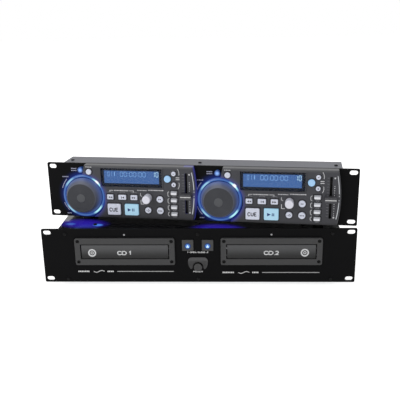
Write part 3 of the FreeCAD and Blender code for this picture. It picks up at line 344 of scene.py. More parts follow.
enamel = Finish("black_case_enamel", ENAMEL, 0.16, unit=controller, specular=0.25, coat=0.3)
enamel.wear_and_edge_light(radius=0.5, grain=1.2, depth=0.002, blotch=80.0, mottle=0.12, edge=0.7, edge_colour=WORN_AND_LIT_EDGE)
# Painted glow: a purple pool and cyan spots on the lid under each jog ring, for the rings' light reflected in
# the enamel
painted_glow_pool, spots = 0.0, 0.0
for side, sign in SIDES:
    middle = sign * DECK_X + JOG_X
    painted_glow_pool = enamel.math("MAXIMUM", painted_glow_pool, enamel.patch(middle, POOL_Y, *POOL_REACH))
    for offset, share in SPOTS:
        spot = enamel.times(enamel.patch(middle + offset, SPOT_Y, *SPOT_REACH), share)
        spots = enamel.math("MAXIMUM", spots, spot)
level = enamel.ramp(enamel.z, *LID_Z)
painted_lid_glow = enamel.blend(enamel.times(painted_glow_pool, level), UNLIT, (*PAINTED_LID_GLOW_PURPLE, 1.0))
painted_lid_glow = enamel.blend(enamel.times(spots, level), painted_lid_glow, (*PAINTED_LID_GLOW_CYAN, 1.0))
enamel.glow_with(painted_lid_glow)
dress(enamel.done(), "drive_cover")

zinc = Finish("zinc_sheet", ZINC, 0.38, metallic=0.9)
zinc.wear_and_edge_light(radius=0.3, grain=2.5, depth=0.004, blotch=14.0, mottle=0.10, edge=0.3)
dress(zinc.done(), "drive_chassis")


# -------------------- screws and feet
# Cross-recessed pan heads in blackened steel hold the panels, bezels and lids.
# Both boxes stand on moulded rubber feet.

SCREW_STEEL = (0.006, 0.006, 0.0065)
SCREW_EDGE = (0.09, 0.09, 0.095)
FOOT_RUBBER = (0.016, 0.016, 0.016)

screw = Finish("blackened_screw_steel", SCREW_STEEL, 0.42, metallic=0.3, specular=0.15)
screw.wear_and_edge_light(radius=0.15, grain=0.4, depth=0.004, blotch=3.0, mottle=0.2, edge=0.8, edge_colour=SCREW_EDGE)
dress(screw.done(), "drive_screws", "controller_screws")

rubber = Finish("foot_rubber", FOOT_RUBBER, 0.78, specular=0.2)
rubber.wear_and_edge_light(radius=0.4, grain=0.5, depth=0.03, blotch=6.0, mottle=0.2, edge=0.4)
dress(rubber.done(), "drive_feet", "controller_feet")


# -------------------- tray bezels
# Each tray looks out through a moulded frame, screwed on at its four corners.
# A winged plate of coarsely grained plastic sits round the power button.  A painted
# highlight makes it paler at its top, and painted shade makes it black round its notch.

BEZEL_GREY = (0.049, 0.049, 0.050)
SURROUND_GREY = (0.055, 0.055, 0.056)
SURROUND_TOP_HIGHLIGHT = (0.078, 0.078, 0.080)
HIGHLIGHT_Z = (34.0, 38.0)
POWER_Z = 26.0
NOTCH_RADIUS = 7.8
GAP_SHADE_BLACK = (0.006, 0.006, 0.006)

bezel = Finish("bezel_moulding", BEZEL_GREY, 0.50)
bezel.wear_and_edge_light(radius=0.5, grain=0.45, depth=0.02, blotch=30.0, mottle=0.07, edge=0.45)
dress(bezel.done(), "tray_bezels")

surround = Finish("spark_grained_plate", SURROUND_GREY, 0.55)
surround.wear_and_edge_light(radius=0.3, grain=1.4, depth=0.12, blotch=4.0, mottle=0.32, edge=0.4)
# Painted highlight along the top, and painted shade in the gap round the button
surround.lay(surround.ramp(surround.z, *HIGHLIGHT_Z), SURROUND_TOP_HIGHLIGHT)
from_button = surround.distance(0.0, POWER_Z)
surround.lay(surround.ramp(from_button, NOTCH_RADIUS + 1.0, NOTCH_RADIUS), GAP_SHADE_BLACK)
dress(surround.done(), "power_surround")


# -------------------- disc trays
# A tray is one moulding: the door in front, the stepped recesses for large and small
# discs behind it, and a rack along one side of its belly.  The door carries a
# plain disc sign and its deck's number.  Painted shade makes the door darker towards
# its foot and its edges black, as in the gap round it.

TRAY_GREY = (0.086, 0.087, 0.090)
TRAY_FOOT_SHADE = (0.010, 0.010, 0.010)
SHADE_Z = (61.0, 42.0)
DOOR_FRONT = -3.2
DOOR_BACK = 2.0
FAR_OUT = -200.0
DOOR_PRINT = (0.74, 0.75, 0.76)

tray = Finish("tray_moulding", TRAY_GREY, 0.44)
tray.wear_and_edge_light(radius=0.35, grain=0.35, depth=0.01, blotch=50.0, mottle=0.06, edge=0.4)
# Painted shade: the door darker towards its foot, and its edges black as in the gap round it
shade = tray.times(tray.ramp(tray.z, *SHADE_Z), tray.inside(y=(FAR_OUT, DOOR_BACK)))
tray.lay(shade, TRAY_FOOT_SHADE)
tray.lay(tray.inside(y=(DOOR_FRONT + 0.7, DOOR_BACK)), GAP_SHADE_BLACK, 0.6)
dress(tray.done(), "left_disc_tray", "right_disc_tray")

PRINT_PROUD = 0.05
PRINT_SINK = 0.03
POINT = 0.02
WELD = 1e-7
SHARP_DEGREES = 35


def net(rows, columns, spans):
    """Quads between rows of points: each row closes on itself, and spans rows are joined to the next."""
    row, column = np.meshgrid(np.arange(spans), np.arange(columns), indexing="ij")
    here, below = row * columns, (row + 1) % rows * columns
    after = (column + 1) % columns
    corners = (here + column, here + after, below + after, below + column)
    return np.stack(corners, -1).reshape(-1, 4).tolist()


def tube_faces(rows, columns):
    """Quads round a closed tube of rows x columns points, with an end face at each end."""
    last = (rows - 1) * columns
    return net(rows, columns, rows - 1) + [list(range(columns))[::-1], list(range(last, last + columns))]


def stroke(x, z, width, front):
    """A printed stroke: a thin bar along the path x, z on the face at front.

    At each point of the path the two sides lie half the width away along the mean of
    the neighbouring pieces' normals, lengthened by one over the cosine of half the
    bend, so corners are mitred.  The width may change from point to point.
    """
    path = np.stack([np.asarray(x, float), np.asarray(z, float)], -1)
    width = np.broadcast_to(np.asarray(width, float), len(path))
    along = np.diff(path, axis=0)
    along /= np.linalg.norm(along, axis=1, keepdims=True)
    across = np.stack([-along[:, 1], along[:, 0]], -1)
    before = np.vstack([across[:1], across])
    after = np.vstack([across, across[-1:]])
    mean = before + after
    mean /= np.linalg.norm(mean, axis=1, keepdims=True)
    reach = mean * (width / 2 / np.sum(mean * before, axis=1))[:, None]
    left, right = path + reach, path - reach
    back, face = front + PRINT_SINK, front - PRINT_PROUD
    rings = np.stack([left, left, right, right], 1)
    depth = np.broadcast_to(np.array([back, face, face, back]), rings.shape[:2])
    points = np.stack([rings[..., 0], depth, rings[..., 1]], -1)
    return points.reshape(-1, 3), tube_faces(len(path), 4)


def bar(x0, x1, z, thick, front):
    """A level bar from x0 to x1."""
    return stroke([x0, x1], [z, z], thick, front)


def upright(x, z0, z1, thick, front):
    """A bar that stands from z0 to z1."""
    return stroke([x, x], [z0, z1], thick, front)


def arc(x, z, radius, start, end, thick, front):
    """A stroke along a circle: the point at angle t is the centre plus radius times (cos t, sin t)."""
    angle = np.radians(np.linspace(start, end, max(5, int(abs(end - start) / 9) + 1)))
    return stroke(x + radius * np.cos(angle), z + radius * np.sin(angle), thick, front)


def arrow(x, z, length, height, front):
    """A filled triangle that points along +x, or along -x if the length is negative."""
    return stroke([x - length / 2, x + length / 2], [z, z], [height, POINT], front)


# Plain capitals and figures, each as strokes in a box one wide and one high
LETTERS = {
    "C": [([0.95, 0.7, 0.3, 0.05, 0.05, 0.3, 0.7, 0.95], [0.8, 1, 1, 0.75, 0.25, 0, 0, 0.2])],
    "D": [([0.0, 0.6, 0.95, 0.95, 0.6, 0.0, 0.0], [1, 1, 0.7, 0.3, 0, 0, 0.86])],
    "E": [([0.95, 0.05, 0.05, 0.95], [1, 1, 0, 0]), ([0.18, 0.8], [0.5, 0.5])],
    "L": [([0.05, 0.05, 0.95], [1, 0, 0])],
    "N": [([0.05, 0.05, 0.95, 0.95], [0, 1, 0, 1])],
    "O": [([0.5, 0.2, 0.05, 0.05, 0.2, 0.8, 0.95, 0.95, 0.8, 0.5], [1, 1, 0.8, 0.2, 0, 0, 0.2, 0.8, 1, 1])],
    "P": [([0.05, 0.05, 0.8, 0.95, 0.8, 0.18], [0, 1, 1, 0.74, 0.46, 0.46])],
    "R": [([0.05, 0.05, 0.8, 0.95, 0.8, 0.45, 0.95], [0, 1, 1, 0.74, 0.48, 0.46, 0])],
    "S": [([0.95, 0.7, 0.2, 0.1, 0.3, 0.7, 0.9, 0.8, 0.3, 0.05],
           [0.85, 1, 1, 0.72, 0.55, 0.46, 0.28, 0, 0, 0.15])],
    "U": [([0.05, 0.05, 0.3, 0.7, 0.95, 0.95], [1, 0.25, 0, 0, 0.25, 1])],
    "W": [([0.0, 0.25, 0.5, 0.75, 1.0], [1, 0, 0.8, 0, 1])],
    "1": [([0.2, 0.55, 0.55], [0.75, 1, 0])],
    "2": [([0.08, 0.3, 0.7, 0.92, 0.85, 0.08, 0.95], [0.8, 1, 1, 0.75, 0.5, 0, 0])],
    "-": [([0.2, 0.8], [0.5, 0.5])],
}


def words(text, x, z, width, height, gap, thick, front):
    """Strokes for plain capitals: the box of letter n starts at x plus n times (width plus gap)."""
    strokes = []
    for place, letter in enumerate(text):
        left = x + place * (width + gap)
        for across, above in LETTERS[letter]:
            path_x, path_z = left + np.array(across) * width, z + np.array(above) * height
            strokes.append(stroke(path_x, path_z, thick, front))
    return strokes


def piece(name, unit, solids, material, body, smooth=False):
    """One mesh object from closed solids in a unit's millimetres, riding on a body.

    Points that meet are merged, so seams and poles close, and faces are turned outwards.
    """
    points, faces, first = [], [], 0
    for solid_points, solid_faces in solids:
        points.append(solid_points)
        faces += [[corner + first for corner in face] for face in solid_faces]
        first += len(solid_points)
    mesh = bpy.data.meshes.new(name)
    mesh.from_pydata(unit.row(np.vstack(points)).tolist(), [], faces)
    work = bmesh.new()
    work.from_mesh(mesh)
    bmesh.ops.remove_doubles(work, verts=work.verts, dist=WELD)
    bmesh.ops.dissolve_degenerate(work, edges=work.edges, dist=WELD / 10)
    bmesh.ops.recalc_face_normals(work, faces=work.faces)
    work.to_mesh(mesh)
    work.free()
    mesh.materials.append(material)
    if smooth:
        mesh.shade_smooth()
        mesh.set_sharp_from_angle(angle=np.radians(SHARP_DEGREES))
    made = bpy.data.objects.new(name, mesh)
    bpy.context.collection.objects.link(made)
    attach(made, body)
    return made


def print_and_shadow_ink(name, colour, unit):
    """Screen-printed ink, a little uneven; the same finish also makes the painted shadows round the keys."""
    ink = Finish(name, colour, 0.55, unit=unit)
    ink.wear_and_edge_light(radius=0.02, grain=0.25, depth=0.002, blotch=4.0, mottle=0.10, edge=0.0)
    return ink.done()


DOOR_INK = print_and_shadow_ink("door_ink", DOOR_PRINT, drive)
SIGN_X, SIGN_Z = 50.7, 50.2
SIGN_RINGS = ((5.2, 2.2), (1.9, 1.2))
LABEL_Z, LABEL_HEIGHT, LABEL_LINE = 47.2, 5.4, 1.5
LETTERS_FROM, LETTER_WIDTH, LETTER_GAP = -11.1, 6.4, 0.9
FIGURE_FROM, FIGURE_WIDTH = 6.0, 5.0
for (side, sign), figure in zip(SIDES, "12"):
    bay = sign * BAY_X
    sign_x = bay + sign * SIGN_X
    printed = [arc(sign_x, SIGN_Z, radius, 0, 360, line, DOOR_FRONT) for radius, line in SIGN_RINGS]
    letters = ("CD", bay + LETTERS_FROM, LETTER_WIDTH), (figure, bay + FIGURE_FROM, FIGURE_WIDTH)
    for text, x, width in letters:
        printed += words(text, x, LABEL_Z, width, LABEL_HEIGHT, LETTER_GAP, LABEL_LINE, DOOR_FRONT)
    piece(side + "_door_print", drive, printed, DOOR_INK, side + "_disc_tray")


# -------------------- loaders
# Under each tray a zinc plated frame carries the tray's guides, a bridge with the
# clamping puck, the spindle motor, and two rods for the laser sled.

PUCK_BLACK = (0.02, 0.02, 0.022)
PUCK_Y, PUCK_Z = (59.0, 91.0), (55.4, 61.4)
ROD_STEEL = (0.70, 0.70, 0.71)
ROD_Y, ROD_Z = (83.1, 157.9), (30.2, 33.4)
ACETAL = (0.78, 0.78, 0.74)
TABLE_BLACK = (0.012, 0.012, 0.013)
TABLE_PAD = (0.03, 0.03, 0.03)
PAD_Z = (38.0, 38.5)
SLED_GREY = (0.030, 0.030, 0.033)
LENS_PURPLE, LENS_EDGE = (0.05, 0.02, 0.09), (0.3, 0.2, 0.5)
LENS_Y, LENS_Z = 100.0, 40.3
LENS_RADIUS, LENS_HEIGHT, LENS_RISE = 2.6, 0.3, 0.5

loader = Finish("loader_sheet", ZINC, 0.36, metallic=0.9)
loader.wear_and_edge_light(radius=0.3, grain=2.5, depth=0.004, blotch=12.0, mottle=0.10, edge=0.3)
loader.lay(loader.inside(y=PUCK_Y, z=PUCK_Z), PUCK_BLACK, 0.4, 0.0)
loader.lay(loader.inside(y=ROD_Y, z=ROD_Z), ROD_STEEL, 0.16)
dress(loader.done(), "loader_frames")

acetal = Finish("white_acetal", ACETAL, 0.42)
acetal.wear_and_edge_light(radius=0.15, grain=0.5, depth=0.004, blotch=6.0, mottle=0.05, edge=0.3)
dress(acetal.done(), "left_tray_pinion", "right_tray_pinion")

table = Finish("turntable_gloss", TABLE_BLACK, 0.18, coat=0.4)
table.wear_and_edge_light(radius=0.2, grain=0.6, depth=0.002, blotch=8.0, mottle=0.1, edge=0.5)
table.lay(table.band(table.z, *PAD_Z), TABLE_PAD, 0.75)
dress(table.done(), "left_turntable", "right_turntable")

sled = Finish("glass_filled_moulding", SLED_GREY, 0.58)
sled.wear_and_edge_light(radius=0.2, grain=0.6, depth=0.03, blotch=7.0, mottle=0.2, edge=0.4)
dress(sled.done(), "left_laser_sled", "right_laser_sled")

lens_glass = Finish("laser_lens", LENS_PURPLE, 0.06, coat=1.0)
lens_glass.wear_and_edge_light(radius=0.1, grain=0.5, depth=0.0005, blotch=2.0, mottle=0.3, edge=0.4, edge_colour=LENS_EDGE)
LENS_GLASS = lens_glass.done()


def turned(profile, x, z, sides=96, ripple=None):
    """A solid turned about the axis that runs back at x, z, from (radius, y) pairs.

    The point at angle t is x plus radius times cos t, y, z plus radius times sin t.
    Where ripple is given, it maps (radii, angles) to the radii used instead.
    """
    radius, depth = np.array(profile, float).T
    angle = np.linspace(0, 2 * np.pi, sides, endpoint=False)
    radii = np.repeat(radius[:, None], sides, 1)
    if ripple is not None:
        radii = ripple(radii, angle[None, :])
    depths = np.repeat(depth[:, None], sides, 1)
    points = np.stack([x + radii * np.cos(angle), depths, z + radii * np.sin(angle)], -1)
    return points.reshape(-1, 3), tube_faces(len(radius), sides)


def stood_up(solid, x, y, z):
    """A solid that faces up at x, y, z: each point a, b, c of it goes to x + a, y + c, z - b."""
    points, faces = solid
    return np.stack([points[:, 0] + x, points[:, 2] + y, z - points[:, 1]], -1), faces


def dome(radius, height, rise):
    """Half profile of a lens with a flat back and a bowed front.

    At share s of the radius the front stands height plus rise times (1 - s squared) high.
    """
    share = np.linspace(0, 1, 9)
    bow = [(radius * part, -height - rise * (1 - part ** 2)) for part in share]
    return bow + [(radius, 0.0), (0.0, 0.0)]


for side, sign in SIDES:
    facing = turned(dome(LENS_RADIUS, LENS_HEIGHT, LENS_RISE), 0, 0, 48)
    lens = stood_up(facing, sign * BAY_X, LENS_Y, LENS_Z)
    piece(side + "_laser_lens", drive, [lens], LENS_GLASS, side + "_laser_sled", smooth=True)


# -------------------- power supply and boards
# A mains transformer stands between the loaders.  The rear board carries the
# smoothing capacitors, and a small board behind the front panel the switches.
# Two pale disc lamps show through holes over the bezels.

IRON, IRON_SEAM = (0.10, 0.095, 0.09), (0.05, 0.048, 0.045)
WINDING_TAPE = (0.55, 0.42, 0.10)
WINDING_X, WINDING_Z = (-21.2, 21.2), (13.8, 46.2)
BOARD_GREEN, TRACK_GREEN = (0.020, 0.095, 0.040), (0.045, 0.17, 0.07)
SOLDER = (0.55, 0.55, 0.52)
SWITCH_BLACK = (0.02, 0.02, 0.02)
REAR_BOARD_Y, REAR_BOARD_Z = (211.0, 241.0), (11.9, 13.7)
FRONT_BOARD_Y = (14.9, 16.7)
SLEEVE_BLUE, CAN_TOP = (0.015, 0.03, 0.12), (0.6, 0.6, 0.61)
CAN_Y, SLEEVE_Z, CAN_TOP_Z = (217.0, 235.0), (13.7, 38.1), (37.9, 38.6)
LAMP_PALE = (0.42, 0.42, 0.43)
LAMP_Y, LAMP_Z = (-2.0, 8.0), (75.0, 82.0)

iron = Finish("transformer_iron", IRON, 0.5, metallic=0.7)
iron.wear_and_edge_light(radius=0.2, grain=0.6, depth=0.02, blotch=9.0, mottle=0.15, edge=0.4)
layers = iron.node("ShaderNodeTexWave", Vector=iron.place, Scale=0.9, Distortion=0.2)
layers.bands_direction = "Y"
iron.lay(iron.times(layers.outputs["Fac"], 0.5), IRON_SEAM)
iron.lay(iron.inside(x=WINDING_X, z=WINDING_Z), WINDING_TAPE, 0.45, 0.0)
dress(iron.done(), "power_transformer")


def copper_tracks(finish, flat):
    """Lacquer with paler copper runs and bright solder dots, where the mask flat is 1."""
    runs = finish.node("ShaderNodeTexVoronoi", Vector=finish.place, Scale=0.16)
    runs.distance = "CHEBYCHEV"
    runs.feature = "DISTANCE_TO_EDGE"
    track = finish.ramp(runs.outputs["Distance"], 0.10, 0.05)
    dots = finish.node("ShaderNodeTexVoronoi", Vector=finish.place, Scale=0.22)
    dot = finish.ramp(dots.outputs["Distance"], 0.22, 0.16)
    finish.lay(flat, BOARD_GREEN, 0.35)
    finish.lay(finish.times(flat, track), TRACK_GREEN)
    finish.lay(finish.times(flat, dot), SOLDER, 0.3)


board = Finish("drive_circuit_board", SWITCH_BLACK, 0.5)
board.wear_and_edge_light(radius=0.1, grain=0.5, depth=0.004, blotch=8.0, mottle=0.1, edge=0.4)
copper_tracks(board, board.inside(y=REAR_BOARD_Y, z=REAR_BOARD_Z))
copper_tracks(board, board.inside(y=FRONT_BOARD_Y))
board.lay(board.inside(y=CAN_Y, z=SLEEVE_Z), SLEEVE_BLUE, 0.35)
board.lay(board.inside(y=CAN_Y, z=CAN_TOP_Z), CAN_TOP, 0.3, 1.0)
board.lay(board.inside(y=LAMP_Y, z=LAMP_Z), LAMP_PALE, 0.3)
dress(board.done(), "drive_board")


# -------------------- rear sockets
# The back carries phono outputs with coloured collars round plated contacts, two
# round control sockets with their pins, and the mains inlet with its blades.

SOCKET_BLACK = (0.015, 0.015, 0.016)
DRIVE_REAR, CONTROLLER_REAR = 255.0, 49.2
PHONO_X, PHONO_REACH = (-50.0, -20.0, 10.0), 10.0
CONTACT_GOLD = (0.75, 0.52, 0.16)
COLLARS = (("red", 24.0, (0.42, 0.015, 0.015)), ("white", 42.0, (0.72, 0.72, 0.70)))
COLLAR_BORE, COLLAR_RADIUS, COLLAR_Y = 4.22, 6.6, (DRIVE_REAR + 0.02, DRIVE_REAR + 1.6)
DRIVE_SOCKETS_X, CONTROLLER_SOCKETS_X = (70.0, 100.0), (-16.0, 16.0)
SOCKETS = (("drive", drive, DRIVE_SOCKETS_X, 33.0, DRIVE_REAR),
           ("controller", controller, CONTROLLER_SOCKETS_X, 30.0, CONTROLLER_REAR))
PIN_PLATED = (0.72, 0.72, 0.70)
PIN_CIRCLE, PIN_RADIUS = 2.6, 0.45
PIN_TURNS = np.radians([0, 45, 90, 135, 180])
# A pin's half profile: share of its radius, and depth in from the back
PIN_PROFILE = ((0.0, 2.0), (0.6, 2.2), (1.0, 2.8), (1.0, 8.2), (0.0, 8.2))
INLET_X, INLET_Z = -180.0, 32.0
BLADE_STEEL = (0.60, 0.60, 0.58)
BLADES_REACH, BLADES_RISE, BLADES_Y = 8.3, 4.4, (DRIVE_REAR - 14.8, DRIVE_REAR - 3.0)

moulding = Finish("socket_moulding", SOCKET_BLACK, 0.42)
moulding.wear_and_edge_light(radius=0.25, grain=0.5, depth=0.01, blotch=8.0, mottle=0.15, edge=0.5)
phono_x = (PHONO_X[0] - PHONO_REACH, PHONO_X[-1] + PHONO_REACH)
moulding.lay(moulding.inside(x=phono_x, y=(DRIVE_REAR + 0.1, DRIVE_REAR + 15.0)), CONTACT_GOLD, 0.22, 1.0)
dress(moulding.done(), "rear_sockets")

inlet = Finish("mains_inlet_moulding", SOCKET_BLACK, 0.38)
inlet.wear_and_edge_light(radius=0.25, grain=0.5, depth=0.01, blotch=8.0, mottle=0.15, edge=0.5)
blades_x = INLET_X - BLADES_REACH, INLET_X + BLADES_REACH
blades_z = INLET_Z - BLADES_RISE, INLET_Z + BLADES_RISE
inlet.lay(inlet.inside(blades_x, BLADES_Y, blades_z), BLADE_STEEL, 0.25, 1.0)
dress(inlet.done(), "mains_inlet")


def glossy(name, colour, metallic):
    """Bright plating or glossy coloured plastic for the small contact parts."""
    finish = Finish(name, colour, 0.25, metallic=metallic)
    finish.wear_and_edge_light(radius=0.1, grain=0.4, depth=0.002, blotch=3.0, mottle=0.1, edge=0.3)
    return finish.done()


def washer(x, z, inner, outer, y0, y1):
    """A flat ring: a rectangle between two radii, from y0 to y1, turned about its axis."""
    points, _ = turned([(inner, y0), (outer, y0), (outer, y1), (inner, y1)], x, z, 40)
    return points, net(4, 40, 4)


for name, z, colour in COLLARS:
    collars = [washer(x, z, COLLAR_BORE, COLLAR_RADIUS, *COLLAR_Y) for x in PHONO_X]
    gloss = glossy("collar_" + name, colour, 0.0)
    piece("phono_collars_" + name, drive, collars, gloss, "drive", smooth=True)


def socket_pins(x, z, rear):
    """Five round-tipped pins, each an eighth of a turn on, round the lower half of a circle."""
    pin = [(PIN_RADIUS * share, rear - depth) for share, depth in PIN_PROFILE]
    places = zip(x + PIN_CIRCLE * np.cos(PIN_TURNS), z - PIN_CIRCLE * np.sin(PIN_TURNS))
    return [turned(pin, *place, 16) for place in places]


PIN_PLATING = glossy("pin_plating", PIN_PLATED, 1.0)
for body, unit, middles, z, rear in SOCKETS:
    pins = [pin for x in middles for pin in socket_pins(x, z, rear)]
    piece(body + "_socket_pins", unit, pins, PIN_PLATING, body, smooth=True)


# -------------------- buttons of the drive
# The two square eject buttons hold a round lens, lit blue from behind and printed
# with the eject sign.  The power button is a plain round push button, with painted
# shade, black, on its sides.

BUTTON_GREY = (0.058, 0.058, 0.059)
BUTTON_SIDE_Y = (-4.4, -3.4)
EJECT_X, EJECT_Z = 15.25, 60.5
EJECT_RADIUS, EJECT_RIM = 4.4, 5.1
EJECT_Y, EJECT_FRONT = (-4.0, -0.7), -2.2
LENS_BLUE = (0.070, 0.205, 0.54)
LENS_RIM = (0.02, 0.06, 0.22)
SIGN_CYAN = (0.62, 0.86, 1.0)
TRIANGLE_WIDTH, TRIANGLE_FOOT, TRIANGLE_TIP = 3.9, -1.1, 2.0
UNDERLINE_REACH, UNDERLINE_DOWN, UNDERLINE_THICK = 1.9, 2.1, 0.8
LIT_PRINT_BASE, LIT_PRINT_GLOW = 0.7, 0.75

push = Finish("power_button_moulding", SURROUND_GREY, 0.48)
push.wear_and_edge_light(radius=0.4, grain=0.9, depth=0.05, blotch=4.0, mottle=0.15, edge=0.5)
# Painted shade: the button's sides black, as in the gap round it
push.lay(push.ramp(push.y, *BUTTON_SIDE_Y), GAP_SHADE_BLACK)
dress(push.done(), "power_button")

for side, sign in SIDES:
    eject = Finish(side + "_eject_moulding", BUTTON_GREY, 0.46)
    eject.wear_and_edge_light(radius=0.3, grain=0.5, depth=0.012, blotch=9.0, mottle=0.08, edge=0.5)
    away = eject.distance(sign * EJECT_X, EJECT_Z)
    front = eject.inside(y=EJECT_Y)
    lens = eject.times(eject.ramp(away, EJECT_RADIUS + 0.1, EJECT_RADIUS - 0.1), front)
    rim = eject.times(eject.ramp(away, EJECT_RIM + 0.2, EJECT_RIM - 0.2), front)
    eject.lay(rim, LENS_RIM, 0.15)
    lit = eject.times(lens, eject.ramp(away, EJECT_RADIUS - 0.3, EJECT_RADIUS - 1.9))
    eject.glow(lit, LENS_BLUE)
    dress(eject.done(), side + "_eject_button")


def lit_print(name, colour, unit):
    """Print that glows with its own colour."""
    ink = Finish(name, tuple(value * LIT_PRINT_BASE for value in colour), 0.4, unit=unit)
    ink.wear_and_edge_light(radius=0.02, grain=0.3, depth=0.001, blotch=3.0, mottle=0.05, edge=0.0)
    ink.glow(ink.math("MULTIPLY_ADD", ink.speck, -0.1, 1.0), colour, LIT_PRINT_GLOW)
    return ink.done()


EJECT_INK = lit_print("eject_sign_light", SIGN_CYAN, drive)
for side, sign in SIDES:
    middle = sign * EJECT_X
    foot, tip = EJECT_Z + TRIANGLE_FOOT, EJECT_Z + TRIANGLE_TIP
    triangle = upright(middle, foot, tip, [TRIANGLE_WIDTH, POINT], EJECT_FRONT)
    ends = middle - UNDERLINE_REACH, middle + UNDERLINE_REACH
    under = bar(*ends, EJECT_Z - UNDERLINE_DOWN, UNDERLINE_THICK, EJECT_FRONT)
    piece(side + "_eject_sign", drive, [triangle, under], EJECT_INK, side + "_eject_button")


# -------------------- print on the drive's panel
# White and grey screen print: a word under the power button, the eject keys'
# label, and a row of small marks with a thin line under each tray.

PANEL_PRINT = (0.86, 0.86, 0.86)
LINE_GREY = (0.50, 0.50, 0.50)
MARK_ROWS = ((-188.0, -126.6, -38.0, 17.8), (38.0, 99.0, 187.0, 16.1))
ROW_LENGTH = 61.5
MARK_SPANS, MARK_STEP, MARK_HEIGHT = ((0.0, 17.5), (46.0, 57.0)), 2.6, 2.2
WAVE_SPAN, WAVE_HEIGHT, WAVE_THICK = (24.5, 41.5), 1.5, 0.9
MARK_SHARE = 0.74
RULE_THICK = 1.15
# Each word with its x and z, its letters' width and height, the gap and the line
PANEL_WORDS = (("POWER", -7.5, 16.7, 2.2, 1.6, 0.9, 0.6),
               ("1-OPEN-CLOSE-2", -16.4, 48.9, 1.7, 1.7, 0.65, 0.6))


def mark_row(start, scale, z):
    """Two groups of short marks, and between them a wave: z plus its height times one turn of a sine."""
    step = MARK_STEP * scale
    marks = []
    for low, high in MARK_SPANS:
        for x in np.arange(start + low * scale, start + high * scale - 1.0, step):
            marks.append(bar(x, x + step * MARK_SHARE, z, MARK_HEIGHT, 0.0))
    wave_x = start + np.linspace(*WAVE_SPAN, 17) * scale
    wave_z = z + WAVE_HEIGHT * np.sin(np.linspace(-np.pi, np.pi, 17))
    return marks + [stroke(wave_x, wave_z, WAVE_THICK, 0.0)]


PANEL_INK = print_and_shadow_ink("panel_ink", PANEL_PRINT, drive)
LINE_INK = print_and_shadow_ink("line_ink", LINE_GREY, drive)
marks = [letter for word in PANEL_WORDS for letter in words(*word, 0.0)]
for start, rule_start, _, z in MARK_ROWS:
    marks += mark_row(start, (rule_start - start) / ROW_LENGTH, z)
piece("drive_panel_print", drive, marks, PANEL_INK, "drive")
rules = [bar(rule_start, rule_end, z, RULE_THICK, 0.0) for _, rule_start, rule_end, z in MARK_ROWS]
piece("drive_panel_lines", drive, rules, LINE_INK, "drive")


# -------------------- controller's case
# The controller's works sit in a box folded from steel sheet, painted a smooth mid
# grey, under a shallow lid of the same.  The lid's screws are black.

CASE_GREY = (0.113, 0.115, 0.134)
CASE_EDGE = (0.26, 0.26, 0.27)

case = Finish("grey_case_paint", CASE_GREY, 0.42, unit=controller, specular=0.18)
case.wear_and_edge_light(radius=0.5, grain=0.8, depth=0.004, blotch=70.0, mottle=0.07, edge=0.5, edge_colour=CASE_EDGE)
dress(case.done(), "controller_housing", "controller_cover")


# -------------------- control fascias
# Each deck has a raised fascia, one grained moulding with a bowed right side and a
# round notch for the jog wheel.  A painted highlight makes it paler at its top edge and
# painted shade darker towards its foot, and a blue glow painted on the parts nearest
# the rings stands for their light.

FASCIA_GREY = (0.049, 0.050, 0.058)
FASCIA_EDGE = (0.16, 0.16, 0.17)
FASCIA_HIGHLIGHT_AND_SHADE = (((83.0, 88.5), (0.085, 0.085, 0.09)), ((55.0, 6.0), (0.036, 0.036, 0.042)),
                ((9.0, 3.0), (0.014, 0.014, 0.016)))
PAINTED_RING_LIGHT_BLUE = (0.018, 0.020, 0.21)
RING_LIGHT_REACH, RING_LIT_SIDE_X, RING_LIT_SIDE_Y, RING_LIT_SIDE_SHARE = 12.0, (-20.0, 0.0), (-11.7, -9.0), 0.75
FASCIA_FRONT = -12.0
FADER_X = 92.0

fascia = Finish("fascia_moulding", FASCIA_GREY, 0.44, unit=controller)
fascia.wear_and_edge_light(radius=0.6, grain=0.4, depth=0.012, blotch=30.0, mottle=0.07, edge=0.6, edge_colour=FASCIA_EDGE)
# Painted highlight at the top edge, painted shade towards the foot
for span, tone in FASCIA_HIGHLIGHT_AND_SHADE:
    fascia.lay(fascia.ramp(fascia.z, *span), tone)
# Painted glow: the rings' blue light on the fascia near them
ring_lit_side = fascia.times(fascia.ramp(fascia.y, *RING_LIT_SIDE_Y), fascia.inside(x=RING_LIT_SIDE_X))
painted_ring_light = fascia.math("MAXIMUM", ring_glow_mask(fascia, RING_LIGHT_REACH), fascia.times(ring_lit_side, RING_LIT_SIDE_SHARE))
fascia.glow(painted_ring_light, PAINTED_RING_LIGHT_BLUE)
dress(fascia.done(), "control_fascias")


# -------------------- fascia trims
# A thin bright strip of drawn aluminium, broken twice, is pressed into a groove
# along each fascia's bowed right side.

ALUMINIUM = (0.40, 0.41, 0.43)

strip = Finish("drawn_aluminium", ALUMINIUM, 0.30, unit=controller, metallic=1.0)
strip.wear_and_edge_light(radius=0.1, grain=0.3, depth=0.004, blotch=10.0, mottle=0.08, edge=0.3)
dress(strip.done(), "fascia_trims")


# -------------------- jog light rings
# A clear blue light guide lies round each jog wheel, lit from behind by four
# lamps, so it is brightest in four places.

RING_BASE = (0.020, 0.050, 0.14)
RING_BLUE = (0.045, 0.115, 0.33)
RING_SHADE = (0.018, 0.045, 0.22)
RING_INSIDE = (0.0, 0.0, 0.02)
RING_CYAN = (0.50, 0.98, 1.0)
LAMP_CORE = (1.0, 1.0, 1.0)
LAMPS, LAMP_OFFSET, LAMP_SPREAD = 4.0, 22.4, (20.0, 2.0)
INSIDE_RADII, CORE_RISE, CORE_FALL = (29.0, 30.6), (30.2, 31.4), (34.2, 32.8)
LEFT_SHARE, RIGHT_GAIN = 0.50, 0.45

